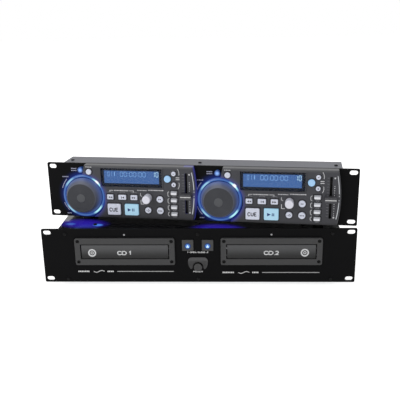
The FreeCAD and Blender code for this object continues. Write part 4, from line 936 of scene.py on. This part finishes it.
ring = Finish("lit_light_guide", RING_BASE, 0.22, unit=controller, coat=0.15)
ring.wear_and_edge_light(radius=0.2, grain=0.6, depth=0.004, blotch=9.0, mottle=0.15, edge=0.0)
across = ring.math("SUBTRACT", ring.deck_x(), JOG_X)
above = ring.math("SUBTRACT", ring.z, JOG_Z)
turn = ring.math("ARCTAN2", above, across)
near_lamp = ring.ramp(ring.math("COSINE", ring.math("MULTIPLY_ADD", turn, LAMPS, -np.pi)), 0.1, 1.0)
to_right = ring.math("MULTIPLY_ADD", ring.ramp(across, -15.0, 15.0), RIGHT_GAIN, LEFT_SHARE)
radius = ring.math("SQRT", ring.sum_of_squares(across, above))
core = ring.times(ring.ramp(radius, *CORE_RISE), ring.ramp(radius, *CORE_FALL))
spots = ring.times(ring.times(near_lamp, to_right), core)
from_lamp = [ring.math("SUBTRACT", value, LAMP_OFFSET) for value in (across, above)]
bright = ring.ramp(ring.sum_of_squares(*from_lamp), *LAMP_SPREAD)
light = ring.blend(core, (*RING_SHADE, 1.0), (*RING_BLUE, 1.0))
light = ring.blend(spots, light, (*RING_CYAN, 1.0))
light = ring.blend(bright, light, (*LAMP_CORE, 1.0))
ring.glow_with(ring.blend(ring.ramp(radius, *INSIDE_RADII), (*RING_INSIDE, 1.0), light))
dress(ring.done(), "jog_light_rings")


# -------------------- jog wheels
# A jog wheel is a turned dial on a spindle: a sloping silver-grey side for the
# fingertips, a darker face with fine turned grooves, and a plain round cap.  A blue
# glow painted on the sloping side stands for the ring's light falling on it.

WHEEL_RADIUS = 29.2
WHEEL_SIDE = (0.105, 0.115, 0.155)
PAINTED_RING_GLOW = (0.022, 0.055, 0.20)
DIAL_DARK = (0.033, 0.035, 0.043)
GROOVE_DARK = (0.030, 0.031, 0.036)
CAP_GREY = (0.072, 0.075, 0.082)
DIAL_RADIUS, DIAL_FRONT = 22.6, -19.5
CAP_RADIUS = 6.75
GROOVES, GROOVE_PITCH, GROOVE_DEPTH = (7.8, 21.6), 1.15, 0.16
SPINDLE_BORE = 3.05


def wheel_profile():
    """Half profile of a wheel, from the cap's middle round to the boss, as (radius, y).

    The face is cut with grooves: its depth at radius r is the face's y plus the groove
    depth times the square of the sine of pi times r over the pitch.
    """
    cap = [(0.0, DIAL_FRONT - 0.6), (CAP_RADIUS - 0.9, DIAL_FRONT - 0.6)]
    cap += [(CAP_RADIUS - 0.3, DIAL_FRONT - 0.5), (CAP_RADIUS, DIAL_FRONT - 0.1)]
    cap.append((CAP_RADIUS + 0.1, DIAL_FRONT))
    radius = np.linspace(*GROOVES, int((GROOVES[1] - GROOVES[0]) / GROOVE_PITCH * 8) + 1)
    depth = DIAL_FRONT + GROOVE_DEPTH * np.sin(np.pi * (radius - GROOVES[0]) / GROOVE_PITCH) ** 2
    rim = [(DIAL_RADIUS, DIAL_FRONT), (22.95, -19.4), (23.3, -19.15), (23.7, -18.8)]
    slope = [(28.8, -6.4), (29.1, -6.0), (WHEEL_RADIUS, -5.6), (WHEEL_RADIUS, -4.2), (27.2, -4.2)]
    inner = [(21.6, -17.3), (8.0, -17.3), (8.0, -4.0)]
    bore = [(SPINDLE_BORE, -4.0), (SPINDLE_BORE, -16.8), (0.0, -16.8)]
    return cap + list(zip(radius, depth)) + rim + slope + inner + bore


for side, sign in SIDES:
    middle = sign * DECK_X + JOG_X
    wheel = Finish(side + "_jog_plastic", WHEEL_SIDE, 0.36, unit=controller, specular=0.3)
    wheel.wear_and_edge_light(radius=0.25, grain=0.3, depth=0.006, blotch=14.0, mottle=0.08, edge=0.3)
    away = wheel.distance(middle, JOG_Z)
    wheel.lay(wheel.ramp(away, DIAL_RADIUS + 0.6, DIAL_RADIUS - 0.2), DIAL_DARK, 0.42)
    turning = wheel.math("SINE", wheel.times(away, 2 * np.pi / GROOVE_PITCH))
    grooved = wheel.times(wheel.ramp(turning, 0.0, 1.0), wheel.band(away, *GROOVES))
    wheel.lay(grooved, GROOVE_DARK)
    wheel.lay(wheel.ramp(away, CAP_RADIUS + 0.05, CAP_RADIUS - 0.1), CAP_GREY, 0.38)
    # Painted glow: the ring's blue light on the wheel's sloping side
    on_side = wheel.ramp(away, DIAL_RADIUS + 0.9, DIAL_RADIUS + 1.9)
    wheel.glow(wheel.times(wheel.ramp(wheel.y, -18.0, -4.5), on_side), PAINTED_RING_GLOW)
    solid = turned(wheel_profile(), middle, JOG_Z, 160)
    body = side + "_jog_wheel"
    dial = piece(side + "_jog_dial", controller, [solid], wheel.done(), body, smooth=True)
    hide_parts(side + "_jog_wheel")


# -------------------- displays
# A blue liquid crystal display, lit from behind, lies under a clear pane in a
# raised rim.  It shows a track number, a running time and a count, in plain
# seven-bar figures.

CRYSTAL_BLACK = (0.006, 0.007, 0.012)
PANE_BLUE, PANE_ALPHA = (0.02, 0.03, 0.06), 0.22
DISPLAY_LIT = (0.083, 0.205, 0.545)
FIGURE_PALE = (0.28, 0.55, 0.98)
FIGURE_BRIGHT = (0.50, 0.80, 1.0)
LCD_FRONT = -9.5
LCD_X, LCD_Z, LCD_SOFT = (-37.5, 49.5), (59.5, 79.5), 0.4

lcd = Finish("lit_crystal", CRYSTAL_BLACK, 0.35, unit=controller, specular=0.1)
lcd.wear_and_edge_light(radius=0.05, grain=0.4, depth=0.001, blotch=18.0, mottle=0.12, edge=0.0)
area = lcd.times(lcd.band(lcd.deck_x(), *LCD_X, LCD_SOFT), lcd.band(lcd.z, *LCD_Z, LCD_SOFT))
lcd.glow(area, DISPLAY_LIT)
dress(lcd.done(), "display_modules")

pane = Finish("display_pane", PANE_BLUE, 0.05, unit=controller)
pane.wear_and_edge_light(radius=0.05, grain=0.5, depth=0.0003, blotch=20.0, mottle=0.1, edge=0.2)
pane.shader.inputs["Alpha"].default_value = PANE_ALPHA
dress(pane.done(), "display_windows")

# Bars of a seven-bar figure in a box one wide and one high: two ends each
BARS = {"top": ((0, 1), (1, 1)), "foot": ((0, 0), (1, 0)),
        "left_up": ((0, 1), (0, 0.5)), "right_up": ((1, 1), (1, 0.5)),
        "left_low": ((0, 0.5), (0, 0)), "right_low": ((1, 0.5), (1, 0))}
FIGURES = {"0": "top foot left_up right_up left_low right_low", "1": "right_up right_low"}
BAR_SHARE = 0.78
# Each number with its x and z, its figures' width and height, the gap and the line
TRACK_AND_TIME = (("01", -31.5, 70.5, 2.6, 7.0, 1.4, 0.62), ("00:00:00", -11.5, 70.5, 4.2, 7.0, 1.9, 0.75))
COUNT = ("10", 39.6, 70.8, 3.4, 7.6, 2.0, 1.15)
DIVIDER = (-20.6, 71.0, 77.5, 1.3)


def figures(text, x, z, width, height, gap, thick, front):
    """Strokes for seven-bar figures, each bar shrunk about its middle; a colon is two dots."""
    strokes, left = [], x
    for letter in text:
        if letter == ":":
            for share in (0.3, 0.7):
                strokes.append(bar(left, left + thick, z + share * height, thick, front))
            left += gap + thick
            continue
        for name in FIGURES[letter].split():
            ends = np.array(BARS[name], float)
            ends = ends.mean(0) + (ends - ends.mean(0)) * BAR_SHARE
            strokes.append(stroke(left + ends[:, 0] * width, z + ends[:, 1] * height, thick, front))
        left += width + gap
    return strokes


def on_deck(solids, sign):
    """Solids measured from a deck's middle, moved to the left (-1) or the right (1) deck."""
    return [(points + np.array([sign * DECK_X, 0.0, 0.0]), faces) for points, faces in solids]


FIGURE_LIGHT = lit_print("figure_light", FIGURE_PALE, controller)
COUNT_LIGHT = lit_print("count_light", FIGURE_BRIGHT, controller)
front = LCD_FRONT - 0.02
shown = [figure for number in TRACK_AND_TIME for figure in figures(*number, front)]
shown.append(upright(*DIVIDER, front))
count = figures(*COUNT, front)
for side, sign in SIDES:
    for name, lit, ink in (("_display_figures", shown, FIGURE_LIGHT), ("_display_count", count, COUNT_LIGHT)):
        piece(side + name, controller, on_deck(lit, sign), ink, "controller")


# -------------------- circuit board of the controller
# One board behind the panel carries the key switches, the faders' bodies and the
# encoders.

works = Finish("controller_circuit_board", SWITCH_BLACK, 0.5, unit=controller)
works.wear_and_edge_light(radius=0.1, grain=0.5, depth=0.004, blotch=8.0, mottle=0.1, edge=0.4)
copper_tracks(works, works.inside(y=(3.9, 5.7)))
dress(works.done(), "controller_board")


# -------------------- keys and buttons
# Keycaps are pale translucent mouldings.  The play key and the pitch button are lit
# blue-white, the tray button is clear blue with a lamp behind it, and the loop keys
# are silver.  Painted shade darkens each cap towards the fascia, and each silver cap
# also on its upper half and right end.

KEY_PALE, KEY_FOOT_SHADE = (0.71, 0.74, 0.86), (0.26, 0.26, 0.31)
LIT_FACE, LIT_FOOT_SHADE, LIT_LIGHT = (0.30, 0.46, 0.55), (0.05, 0.14, 0.24), (0.155, 0.275, 0.365)
PITCH_FACE, PITCH_FOOT_SHADE, PITCH_LIGHT = (0.29, 0.44, 0.60), (0.05, 0.12, 0.24), (0.13, 0.24, 0.38)
LOOP_SILVER, LOOP_UPPER_SHADE, LOOP_SHADE = (0.86, 0.87, 0.92), (0.42, 0.43, 0.47), (0.16, 0.16, 0.18)
LOOP_X, LOOP_WIDTH, LOOP_HEIGHT = 73.2, 10.0, 6.0
LOOP_ROWS = (47.0, 35.5, 24.3, 13.3)
LOOP_RIGHT = (76.4, 78.0)
TRAY_BUTTON_BLUE, TRAY_BUTTON_LIGHT = (0.035, 0.10, 0.36), (0.22, 0.42, 0.85)
TRAY_BUTTON_X, TRAY_BUTTON_Z, TRAY_BUTTON_FADE = -77.3, 78.0, (4.4, 0.2)
WHITE_KEYS = ("cue_button", "track_keys", "mode_buttons", "bend_buttons", "tap_button", "play_mode_button")


def keycap(name, colour, foot, roughness=0.34):
    """A keycap whose sides carry painted shade, darker towards the fascia."""
    cap = Finish(name, colour, roughness, unit=controller)
    cap.wear_and_edge_light(radius=0.35, grain=0.35, depth=0.004, blotch=7.0, mottle=0.05, edge=0.25)
    # Painted shade on the cap's sides, darker towards the fascia
    cap.lay(cap.ramp(cap.y, FASCIA_FRONT - 1.9, FASCIA_FRONT - 0.2), foot)
    return cap


def lit_keycap(name, colour, foot, light):
    """A keycap with an even light behind it."""
    cap = keycap(name, colour, foot)
    cap.glow(cap.math("MULTIPLY_ADD", cap.speck, -0.12, 1.0), light)
    return cap.done()


WHITE_CAP = keycap("pale_keycap", KEY_PALE, KEY_FOOT_SHADE).done()
LIT_CAP = lit_keycap("lit_keycap", LIT_FACE, LIT_FOOT_SHADE, LIT_LIGHT)
PITCH_CAP = lit_keycap("lit_round_cap", PITCH_FACE, PITCH_FOOT_SHADE, PITCH_LIGHT)
silver = keycap("silver_keycap", LOOP_SILVER, LOOP_SHADE, 0.30)
# Painted shade on each silver key's right end and upper half
silver.lay(silver.ramp(silver.deck_x(), *LOOP_RIGHT), LOOP_SHADE)
for z in LOOP_ROWS:
    silver.lay(silver.inside(z=(z + 0.6, z + 3.2)), LOOP_UPPER_SHADE)
SILVER_CAP = silver.done()

for side, sign in SIDES:
    dress(WHITE_CAP, *(side + "_" + key for key in WHITE_KEYS))
    dress(LIT_CAP, side + "_play_button")
    dress(PITCH_CAP, side + "_pitch_button")
    dress(SILVER_CAP, side + "_loop_keys")
    clear = Finish(side + "_clear_blue_cap", TRAY_BUTTON_BLUE, 0.16, unit=controller, coat=0.5)
    clear.wear_and_edge_light(radius=0.3, grain=0.5, depth=0.002, blotch=5.0, mottle=0.1, edge=0.4)
    away = clear.distance(sign * DECK_X + TRAY_BUTTON_X, TRAY_BUTTON_Z)
    clear.glow(clear.ramp(away, *TRAY_BUTTON_FADE), TRAY_BUTTON_LIGHT)
    dress(clear.done(), side + "_tray_button")


# -------------------- painted key shadows
# Each key and button comes up through a hole in the fascia, and a black ring is
# painted round each hole as the shadow in the gap round the key.

KEY_SHADOW_BLACK = (0.008, 0.008, 0.010)
RIM_WIDTH = 1.1
KEY_GAP = 0.35
TRACK_KEYS_X, TRACK_KEYS_Z = (-28.3, -9.0, 9.7), 38.1
BEND_X, BEND_Z = 73.3, (77.6, 60.3)
# Square keys as x, z, width and height, and round ones as x, z and diameter
SQUARE_KEYS = [(-22.8, 18.2, 21.0, 17.8), (5.2, 18.3, 21.7, 17.8)]
SQUARE_KEYS += [(x, TRACK_KEYS_Z, width, 7.8) for x, width in zip(TRACK_KEYS_X, (10.0, 12.4, 10.8))]
SQUARE_KEYS += [(LOOP_X, z, LOOP_WIDTH, LOOP_HEIGHT) for z in LOOP_ROWS]
ROUND_BUTTONS = [(31.8, 18.2, 9.7), (50.8, 36.4, 10.3), (50.9, 18.0, 10.5), (63.5, 69.0, 10.3)]
ROUND_BUTTONS += [(BEND_X, z, 7.0) for z in BEND_Z] + [(-60.8, 77.6, 8.8)]

KEY_SHADOW_INK = print_and_shadow_ink("painted_key_shadow", KEY_SHADOW_BLACK, controller)


def frame_round(x, z, width, height, thick, front):
    """A frame of four bars whose middles lie half a thickness outside the width and height."""
    half, rise = (width + thick) / 2, (height + thick) / 2
    top, reach = rise + thick / 2, half - thick / 2
    sides = [upright(x + edge, z - top, z + top, thick, front) for edge in (-half, half)]
    return sides + [bar(x - reach, x + reach, z + edge, thick, front) for edge in (-rise, rise)]


key_shadows = []
for x, z, width, height in SQUARE_KEYS:
    key_shadows += frame_round(x, z, width + 2 * KEY_GAP, height + 2 * KEY_GAP, RIM_WIDTH, FASCIA_FRONT)
for x, z, diameter in ROUND_BUTTONS:
    key_shadows.append(arc(x, z, diameter / 2 + KEY_GAP + RIM_WIDTH / 2, 0, 360, RIM_WIDTH, FASCIA_FRONT))
for side, sign in SIDES:
    piece(side + "_key_shadows", controller, on_deck(key_shadows, sign), KEY_SHADOW_INK, "controller")


# -------------------- legends on the keys
# Dark print: CUE on its key, the play and pause sign, skip and search signs on the
# track keys, dots on the pitch bend buttons and small marks on the round ones.

LEGEND_DARK = (0.035, 0.035, 0.05)
LEGEND_BLUE = (0.012, 0.04, 0.16)
KEY_FACE = -15.2
TRACK_FACE = -14.6
ROUND_FACE = -14.8
CUE_WORD = ("CUE", -30.0, 15.3, 3.6, 5.2, 1.3, 1.3)
PLAY_ARROW = (2.0, 18.3, 5.6, 5.4)
PAUSE_X, PAUSE_Z, PAUSE_THICK = (6.9, 9.2), (16.0, 20.6), 1.25
SKIP_ARROWS = ((-26.4, -3.0), (-29.6, -3.0), (-7.4, -3.0), (8.0, 3.0), (11.2, 3.0))
SKIP_Z, SKIP_HEIGHT = 38.0, 3.4
SKIP_BAR = (-10.0, 36.3, 39.7, 1.0)
TAP_RING, TAP_BAR = (32.6, 18.2, 1.3, 0, 360, 0.7), (28.2, 30.2, 18.2, 0.7)
# The starts of the bars on the two mode buttons, with their length, z and thickness
MODE_BARS = (((48.6, 51.0), 1.7, 36.6, 1.5), ((47.8, 50.1, 52.4), 1.5, 18.1, 1.6))
BEND_SIGN_REACH, BEND_SIGN_THICK = 1.1, 0.9

LEGEND = print_and_shadow_ink("dark_legend", LEGEND_DARK, controller)
PLAY_LEGEND = print_and_shadow_ink("play_legend", LEGEND_BLUE, controller)
cue = words(*CUE_WORD, KEY_FACE)
play = [arrow(*PLAY_ARROW, KEY_FACE)] + [upright(x, *PAUSE_Z, PAUSE_THICK, KEY_FACE) for x in PAUSE_X]
skip = [arrow(x, SKIP_Z, length, SKIP_HEIGHT, TRACK_FACE) for x, length in SKIP_ARROWS]
skip.append(upright(*SKIP_BAR, TRACK_FACE))
tap = [arc(*TAP_RING, ROUND_FACE), bar(*TAP_BAR, ROUND_FACE)]
modes = [bar(x, x + length, z, thick, ROUND_FACE) for starts, length, z, thick in MODE_BARS for x in starts]
ends = BEND_X - BEND_SIGN_REACH, BEND_X + BEND_SIGN_REACH
bends = [bar(*ends, z, BEND_SIGN_THICK, TRACK_FACE) for z in BEND_Z]
low, high = BEND_Z[1] - BEND_SIGN_REACH, BEND_Z[1] + BEND_SIGN_REACH
bends.append(upright(BEND_X, low, high, BEND_SIGN_THICK, TRACK_FACE))
LEGENDS = (("_cue_legend", cue, LEGEND, "_cue_button"),
           ("_play_legend", play, PLAY_LEGEND, "_play_button"),
           ("_track_legends", skip, LEGEND, "_track_keys"),
           ("_tap_legend", tap, LEGEND, "_tap_button"),
           ("_mode_legends", modes, LEGEND, "_mode_buttons"),
           ("_bend_legends", bends, LEGEND, "_bend_buttons"))
for side, sign in SIDES:
    for name, strokes, ink, body in LEGENDS:
        piece(side + name, controller, on_deck(strokes, sign), ink, side + body)


# -------------------- track knobs
# A tall satin knob on an encoder shaft, with fine upright flutes round its side
# for grip and a slightly hollow top.

KNOB_SATIN = (0.74, 0.74, 0.82)
KNOB_X, KNOB_Z = 32.05, 38.6
KNOB_RADIUS = 6.4
KNOB_Y, SHAFT_END = (-27.5, -12.8), 1.5
FLUTES, FLUTE_DEPTH = 28, 0.22
SHAFT_RADIUS = 3.0


def fluted(radii, angle):
    """The knob's own radius, less half the flute depth times (1 + cos(number of flutes times angle))."""
    cut = FLUTE_DEPTH * (0.5 + 0.5 * np.cos(FLUTES * angle))
    return np.where(np.isclose(radii, KNOB_RADIUS), radii - cut, radii)


def knob_profile():
    """Half profile of the knob, from the middle of its top to the shaft's end."""
    top, foot = KNOB_Y
    crown = [(0.0, top + 0.25), (2.5, top + 0.2), (4.6, top + 0.02), (5.3, top)]
    crown += [(5.8, top + 0.15), (6.15, top + 0.5), (KNOB_RADIUS, top + 1.0), (KNOB_RADIUS, -20.0)]
    skirt = [(KNOB_RADIUS, foot - 1.0), (6.25, foot - 0.6), (6.25, foot)]
    return crown + skirt + [(SHAFT_RADIUS, foot), (SHAFT_RADIUS, SHAFT_END), (0.0, SHAFT_END)]


satin = Finish("satin_silver_knob", KNOB_SATIN, 0.32, unit=controller, metallic=0.15)
satin.wear_and_edge_light(radius=0.15, grain=0.25, depth=0.003, blotch=6.0, mottle=0.06, edge=0.3)
SATIN = satin.done()
for side, sign in SIDES:
    solid = turned(knob_profile(), sign * DECK_X + KNOB_X, KNOB_Z, 8 * FLUTES, fluted)
    body = side + "_track_knob"
    knob = piece(side + "_fluted_knob", controller, [solid], SATIN, body, smooth=True)
    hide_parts(side + "_track_knob")


# -------------------- fader caps
# Dark satin caps with a sunk finger grip and one white line painted along it.

CAP_DARK = (0.070, 0.070, 0.078)
CAP_LINE = (0.74, 0.74, 0.74)
GRIP_FLOOR = -20.8
LINE_REACH, LINE_THICK = 8.1, 1.3

slider = Finish("fader_cap_moulding", CAP_DARK, 0.40, unit=controller)
slider.wear_and_edge_light(radius=0.2, grain=0.3, depth=0.008, blotch=6.0, mottle=0.08, edge=0.5)
dress(slider.done(), "left_fader_knob", "right_fader_knob")

LINE_WHITE = print_and_shadow_ink("fader_line_paint", CAP_LINE, controller)
for side, sign in SIDES:
    middle = sign * DECK_X + FADER_X
    low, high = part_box(side + "_fader_knob")
    cap_z = (low[2] + high[2]) / 2 * MM - controller.origin[2]
    line = bar(middle - LINE_REACH, middle + LINE_REACH, cap_z, LINE_THICK, GRIP_FLOOR)
    piece(side + "_fader_line", controller, [line], LINE_WHITE, side + "_fader_knob")


# -------------------- print on the fascias
# Pale grey screen print: rows of small marks, brackets that group the keys, arcs
# by the pitch bend buttons and dots along the fader.  The finest print is fainter.

FASCIA_PRINT = (0.64, 0.64, 0.66)
FAINT_PRINT = (0.22, 0.22, 0.24)
LETTER_ROWS = ((-66.0, -56.0, 85.0, 1.5, 1.1), (-22.0, 0.5, 48.5, 1.9, 1.5), (32.6, 56.4, 50.3, 1.9, 1.5),
               (15.0, 30.2, 49.6, 1.9, 1.2))
BRACKETS = [((-29.0, -29.0, -23.4), (45.6, 48.5, 48.5), 0.8), ((2.0, 8.8, 8.8), (48.5, 48.5, 45.6), 0.8),
            ((20.0, 20.0, 22.4), (45.2, 41.2, 39.8), 0.8), ((20.3, 20.3, 25.4), (34.2, 27.6, 27.6), 1.0)]
for low, high in ((41.0, 49.0), (30.0, 38.0), (19.0, 27.0), (9.5, 16.0)):
    BRACKETS.append(((65.2, 63.2, 63.2, 65.2), (high, high - 1.6, low + 1.6, low), 0.8))
BEND_ARCS, BEND_ARC_X, BEND_ARC_RADIUS = ((-12, 36), (-32, 14)), 69.0, 12.6
FADER_DOTS = ((76.5, 2.2), (64.0, 1.1), (61.0, 1.2), (57.5, 1.2), (54.0, 1.0), (50.5, 1.0), (36.5, 1.1),
              (33.5, 1.1), (30.0, 1.1), (26.0, 1.0), (22.0, 1.1), (18.8, 1.1), (15.8, 2.2))
DOT_X = 97.2
TRACK_ARC = (8.2, 58, 122, 0.6)
LOOP_RINGS, LOOP_RING, LOOP_LINE = (41.2, 29.8, 18.8), (1.7, 0, 360, 0.6), (LOOP_X - 3.0, LOOP_X + 3.0)
LOOP_FOOT = (LOOP_X - 2.8, LOOP_X + 2.8, 8.2, 1.0)
PITCH_BARS, PITCH_BARS_Z = (76.4, 82.0), (71.2, 68.3)
FADER_SCALE, SCALE_X = np.arange(18.0, 77.0, 4.5), (FADER_X - 6.0, FADER_X - 2.6)
BEND_CORNER = (5.0, 60, 200, 0.5)
MARK_LENGTHS = (1.0, 0.55, 1.25, 0.8, 1.5)
SHORTEST_MARK = 0.4


def rows(x0, x1, z, width, thick, front, gap=0.5):
    """A row of short bars in place of small lettering, each as long as width times the next mark length."""
    bars, x = [], x0
    for length in cycle(MARK_LENGTHS):
        if x >= x1 - SHORTEST_MARK:
            return bars
        bars.append(bar(x, min(x + width * length, x1), z, thick, front))
        x += width * length + gap


FASCIA_INK = print_and_shadow_ink("fascia_ink", FASCIA_PRINT, controller)
FAINT_INK = print_and_shadow_ink("faint_fascia_ink", FAINT_PRINT, controller)
strong = [mark for row in LETTER_ROWS for mark in rows(*row, FASCIA_FRONT)]
strong += [stroke(x, z, thick, FASCIA_FRONT) for x, z, thick in BRACKETS]
strong += [bar(*PITCH_BARS, z, 1.2, FASCIA_FRONT) for z in PITCH_BARS_Z]
for z, (start, end) in zip(BEND_Z, BEND_ARCS):
    strong.append(arc(BEND_ARC_X, z, BEND_ARC_RADIUS, start, end, 0.8, FASCIA_FRONT))
strong += [bar(DOT_X - size / 2, DOT_X + size / 2, z, size, FASCIA_FRONT) for z, size in FADER_DOTS]
faint = [arc(x, TRACK_KEYS_Z, *TRACK_ARC, FASCIA_FRONT) for x in TRACK_KEYS_X]
faint += [arc(LOOP_X, z, *LOOP_RING, FASCIA_FRONT) for z in LOOP_RINGS]
faint += [bar(*LOOP_LINE, z, 0.7, FASCIA_FRONT) for z in LOOP_RINGS]
faint.append(bar(*LOOP_FOOT, FASCIA_FRONT))
faint += [bar(*SCALE_X, z, 0.4, FASCIA_FRONT) for z in FADER_SCALE]
faint.append(arc(BEND_X, BEND_Z[0], *BEND_CORNER, FASCIA_FRONT))
for side, sign in SIDES:
    for name, marks, ink, slot in (("_fascia_print", strong, FASCIA_INK, "key_white"),
                                   ("_fascia_faint_print", faint, FAINT_INK, "key_silver")):
        piece(side + name, controller, on_deck(marks, sign), ink, "controller")


# -------------------- print on the controller's panel
# White arcs and small marks round each jog ring, and two rows of marks beside the
# tray button.

PANEL_ARC = (0.40, 0.41, 0.55)
PANEL_ROWS = ((-94.2, -85.6, 79.0, 1.5), (-94.2, -85.6, 75.8, 1.7), (-109.6, -99.8, 65.4, 1.6),
              (-106.2, -98.4, 4.8, 1.6))
JOG_ARCS, JOG_ARC_RADIUS = ((139, 164), (201, 223)), 38.2

ARC_INK = print_and_shadow_ink("panel_arc_ink", PANEL_ARC, controller)
marks = [mark for row in PANEL_ROWS for mark in rows(*row, 1.5, 0.0, 0.45)]
marks += [arc(JOG_X, JOG_Z, JOG_ARC_RADIUS, start, end, 1.2, 0.0) for start, end in JOG_ARCS]
for side, sign in SIDES:
    piece(side + "_panel_arcs", controller, on_deck(marks, sign), ARC_INK, "controller")


# -------------------- print on the backs
# Rows of small bars name the sockets on both backs, and a pale rating label is
# stuck beside the mains inlet.

REAR_PRINT = (0.03, 0.03, 0.035)
LABEL_PALE = (0.66, 0.67, 0.68)
LABEL_X, LABEL_MIDDLE, LABEL_TALL = (-150.0, -98.0), 41.5, 26.0
LABEL_ROWS = (50.0, 46.5, 43.0, 36.0, 32.5)
INLET_ROW = (-198.0, -162.0, 52.0)
CHANNEL_ROWS = ((30.0, 52.0, 24.0), (30.0, 50.0, 42.0))
NAME_MARK, SMALL_MARK = (1.9, 1.6), (1.8, 1.5)
NAMES_CLEAR, LABEL_CLEAR = 0.02, 0.08
# How far each side of a socket its name reaches, and the name's height over the foot
PHONO_NAME, DRIVE_SOCKET_NAME, CONTROLLER_SOCKET_NAME = (7.0, 52.0), (9.0, 45.0), (7.5, 42.0)


def names(middles, reach, z, mark, face):
    """A row of marks for each socket's name, from reach before its middle to reach after it."""
    return [bars for x in middles for bars in rows(x - reach, x + reach, z, *mark, face)]


REAR_INK = print_and_shadow_ink("rear_ink", REAR_PRINT, drive)
back = DRIVE_REAR + NAMES_CLEAR
named = names(PHONO_X, *PHONO_NAME, NAME_MARK, back)
named += names(DRIVE_SOCKETS_X, *DRIVE_SOCKET_NAME, NAME_MARK, back)
named += rows(*INLET_ROW, 2.1, 1.8, back, 0.6)
named += [mark for row in CHANNEL_ROWS for mark in rows(*row, *NAME_MARK, back)]
for z in LABEL_ROWS:
    named += rows(LABEL_X[0] + 4.0, LABEL_X[1] - 4.0, z, 2.0, 1.3, DRIVE_REAR + LABEL_CLEAR, 0.6)
piece("drive_rear_print", drive, named, REAR_INK, "drive")
plate = stroke(LABEL_X, [LABEL_MIDDLE, LABEL_MIDDLE], LABEL_TALL, back + NAMES_CLEAR)
piece("rating_label", drive, [plate], print_and_shadow_ink("rating_label", LABEL_PALE, drive), "drive")
named = names(CONTROLLER_SOCKETS_X, *CONTROLLER_SOCKET_NAME, SMALL_MARK, CONTROLLER_REAR + NAMES_CLEAR)
piece("controller_rear_print", controller, named, FASCIA_INK, "controller")


# -------------------- where it stands
# The drive unit stands on its feet on a plain white floor, under soft light from
# above, in front and the left.

FLOOR_Z = -0.05005
FLOOR_GREY = (0.80, 0.80, 0.80, 1.0)
FLOOR_CORNERS = ((-6, -4), (6, -4), (6, 8), (-6, 8))
FLOOR_EXTRA = 0.66
SKY_EXTRA, SKY_ALWAYS = 0.45, 0.55
EYE = (0.04654, -0.88454, 0.36433)
PITCH = np.radians(17.271)
YAW = np.radians(-2.702)
ROLL = np.radians(-1.081)
FOCAL_PIXELS, PICTURE = 617.0, 400.0
SENSOR = 36.0
# Each soft box's place, the point it looks at, its size and its power
SOFT_BOXES = (("overhead", (-0.2, 0.1, 1.5), (0.0, 0.1, 0.0), 1.4, 7.0),
              ("front_left", (-1.1, -1.3, 1.0), (0.0, 0.0, 0.05), 0.9, 12.0),
              ("back_right", (0.9, 1.2, 1.1), (0.0, 0.1, 0.1), 0.8, 3.0))


def seen_background(shader, extra, always):
    """Strength of a backdrop: more where it is looked at, or seen in gloss or through glass."""
    rays = shader.node("ShaderNodeLightPath").outputs
    seen = shader.math("MAXIMUM", rays["Is Camera Ray"], rays["Is Glossy Ray"])
    seen = shader.math("MAXIMUM", seen, rays["Is Transmission Ray"])
    return shader.math("MULTIPLY_ADD", seen, extra, always)


floor_mesh = bpy.data.meshes.new("floor")
floor_mesh.from_pydata([(x, y, FLOOR_Z) for x, y in FLOOR_CORNERS], [], [(0, 1, 2, 3)])
floor = bpy.data.objects.new("floor", floor_mesh)
bpy.context.collection.objects.link(floor)
white = bpy.data.materials.new("white_floor")
white.use_nodes = True
white.node_tree.nodes.clear()
shades = Nodes(white.node_tree)
plain = shades.node("ShaderNodeBsdfDiffuse", Color=FLOOR_GREY)
lift = shades.node("ShaderNodeEmission", Strength=seen_background(shades, FLOOR_EXTRA, 0.0))
both = shades.node("ShaderNodeAddShader")
shades.link(plain.outputs["BSDF"], both.inputs[0])
shades.link(lift.outputs["Emission"], both.inputs[1])
shades.node("ShaderNodeOutputMaterial", Surface=both.outputs["Shader"])
floor_mesh.materials.append(white)

room = bpy.data.worlds.new("studio")
room.use_nodes = True
shades = Nodes(room.node_tree)
sky = room.node_tree.nodes["Background"]
shades.link(seen_background(shades, SKY_EXTRA, SKY_ALWAYS), sky.inputs["Strength"])
sky.inputs["Color"].default_value = (1.0, 1.0, 1.0, 1.0)
bpy.context.scene.world = room

for name, place, aim, size, power in SOFT_BOXES:
    lamp = bpy.data.lights.new(name, "AREA")
    lamp.shape = "SQUARE"
    lamp.size = size
    lamp.energy = power
    holder = bpy.data.objects.new(name, lamp)
    holder.location = place
    holder.rotation_euler = (Vector(aim) - Vector(place)).to_track_quat("-Z", "Y").to_euler()
    bpy.context.collection.objects.link(holder)

camera = bpy.data.cameras.new("camera")
camera.sensor_fit = "HORIZONTAL"
camera.sensor_width = SENSOR
camera.lens = FOCAL_PIXELS / PICTURE * SENSOR
eye = bpy.data.objects.new("camera", camera)
forward = Vector((np.sin(YAW) * np.cos(PITCH), np.cos(YAW) * np.cos(PITCH), -np.sin(PITCH)))
level = Vector((np.cos(YAW), -np.sin(YAW), 0.0))
upward = level.cross(forward)
picture_x = level * np.cos(ROLL) + upward * np.sin(ROLL)
picture_y = -level * np.sin(ROLL) + upward * np.cos(ROLL)
eye.matrix_world = Matrix.Translation(EYE) @ Matrix((picture_x, picture_y, -forward)).transposed().to_4x4()
bpy.context.collection.objects.link(eye)
bpy.context.scene.camera = eye
bpy.context.scene.view_settings.view_transform = "Standard"
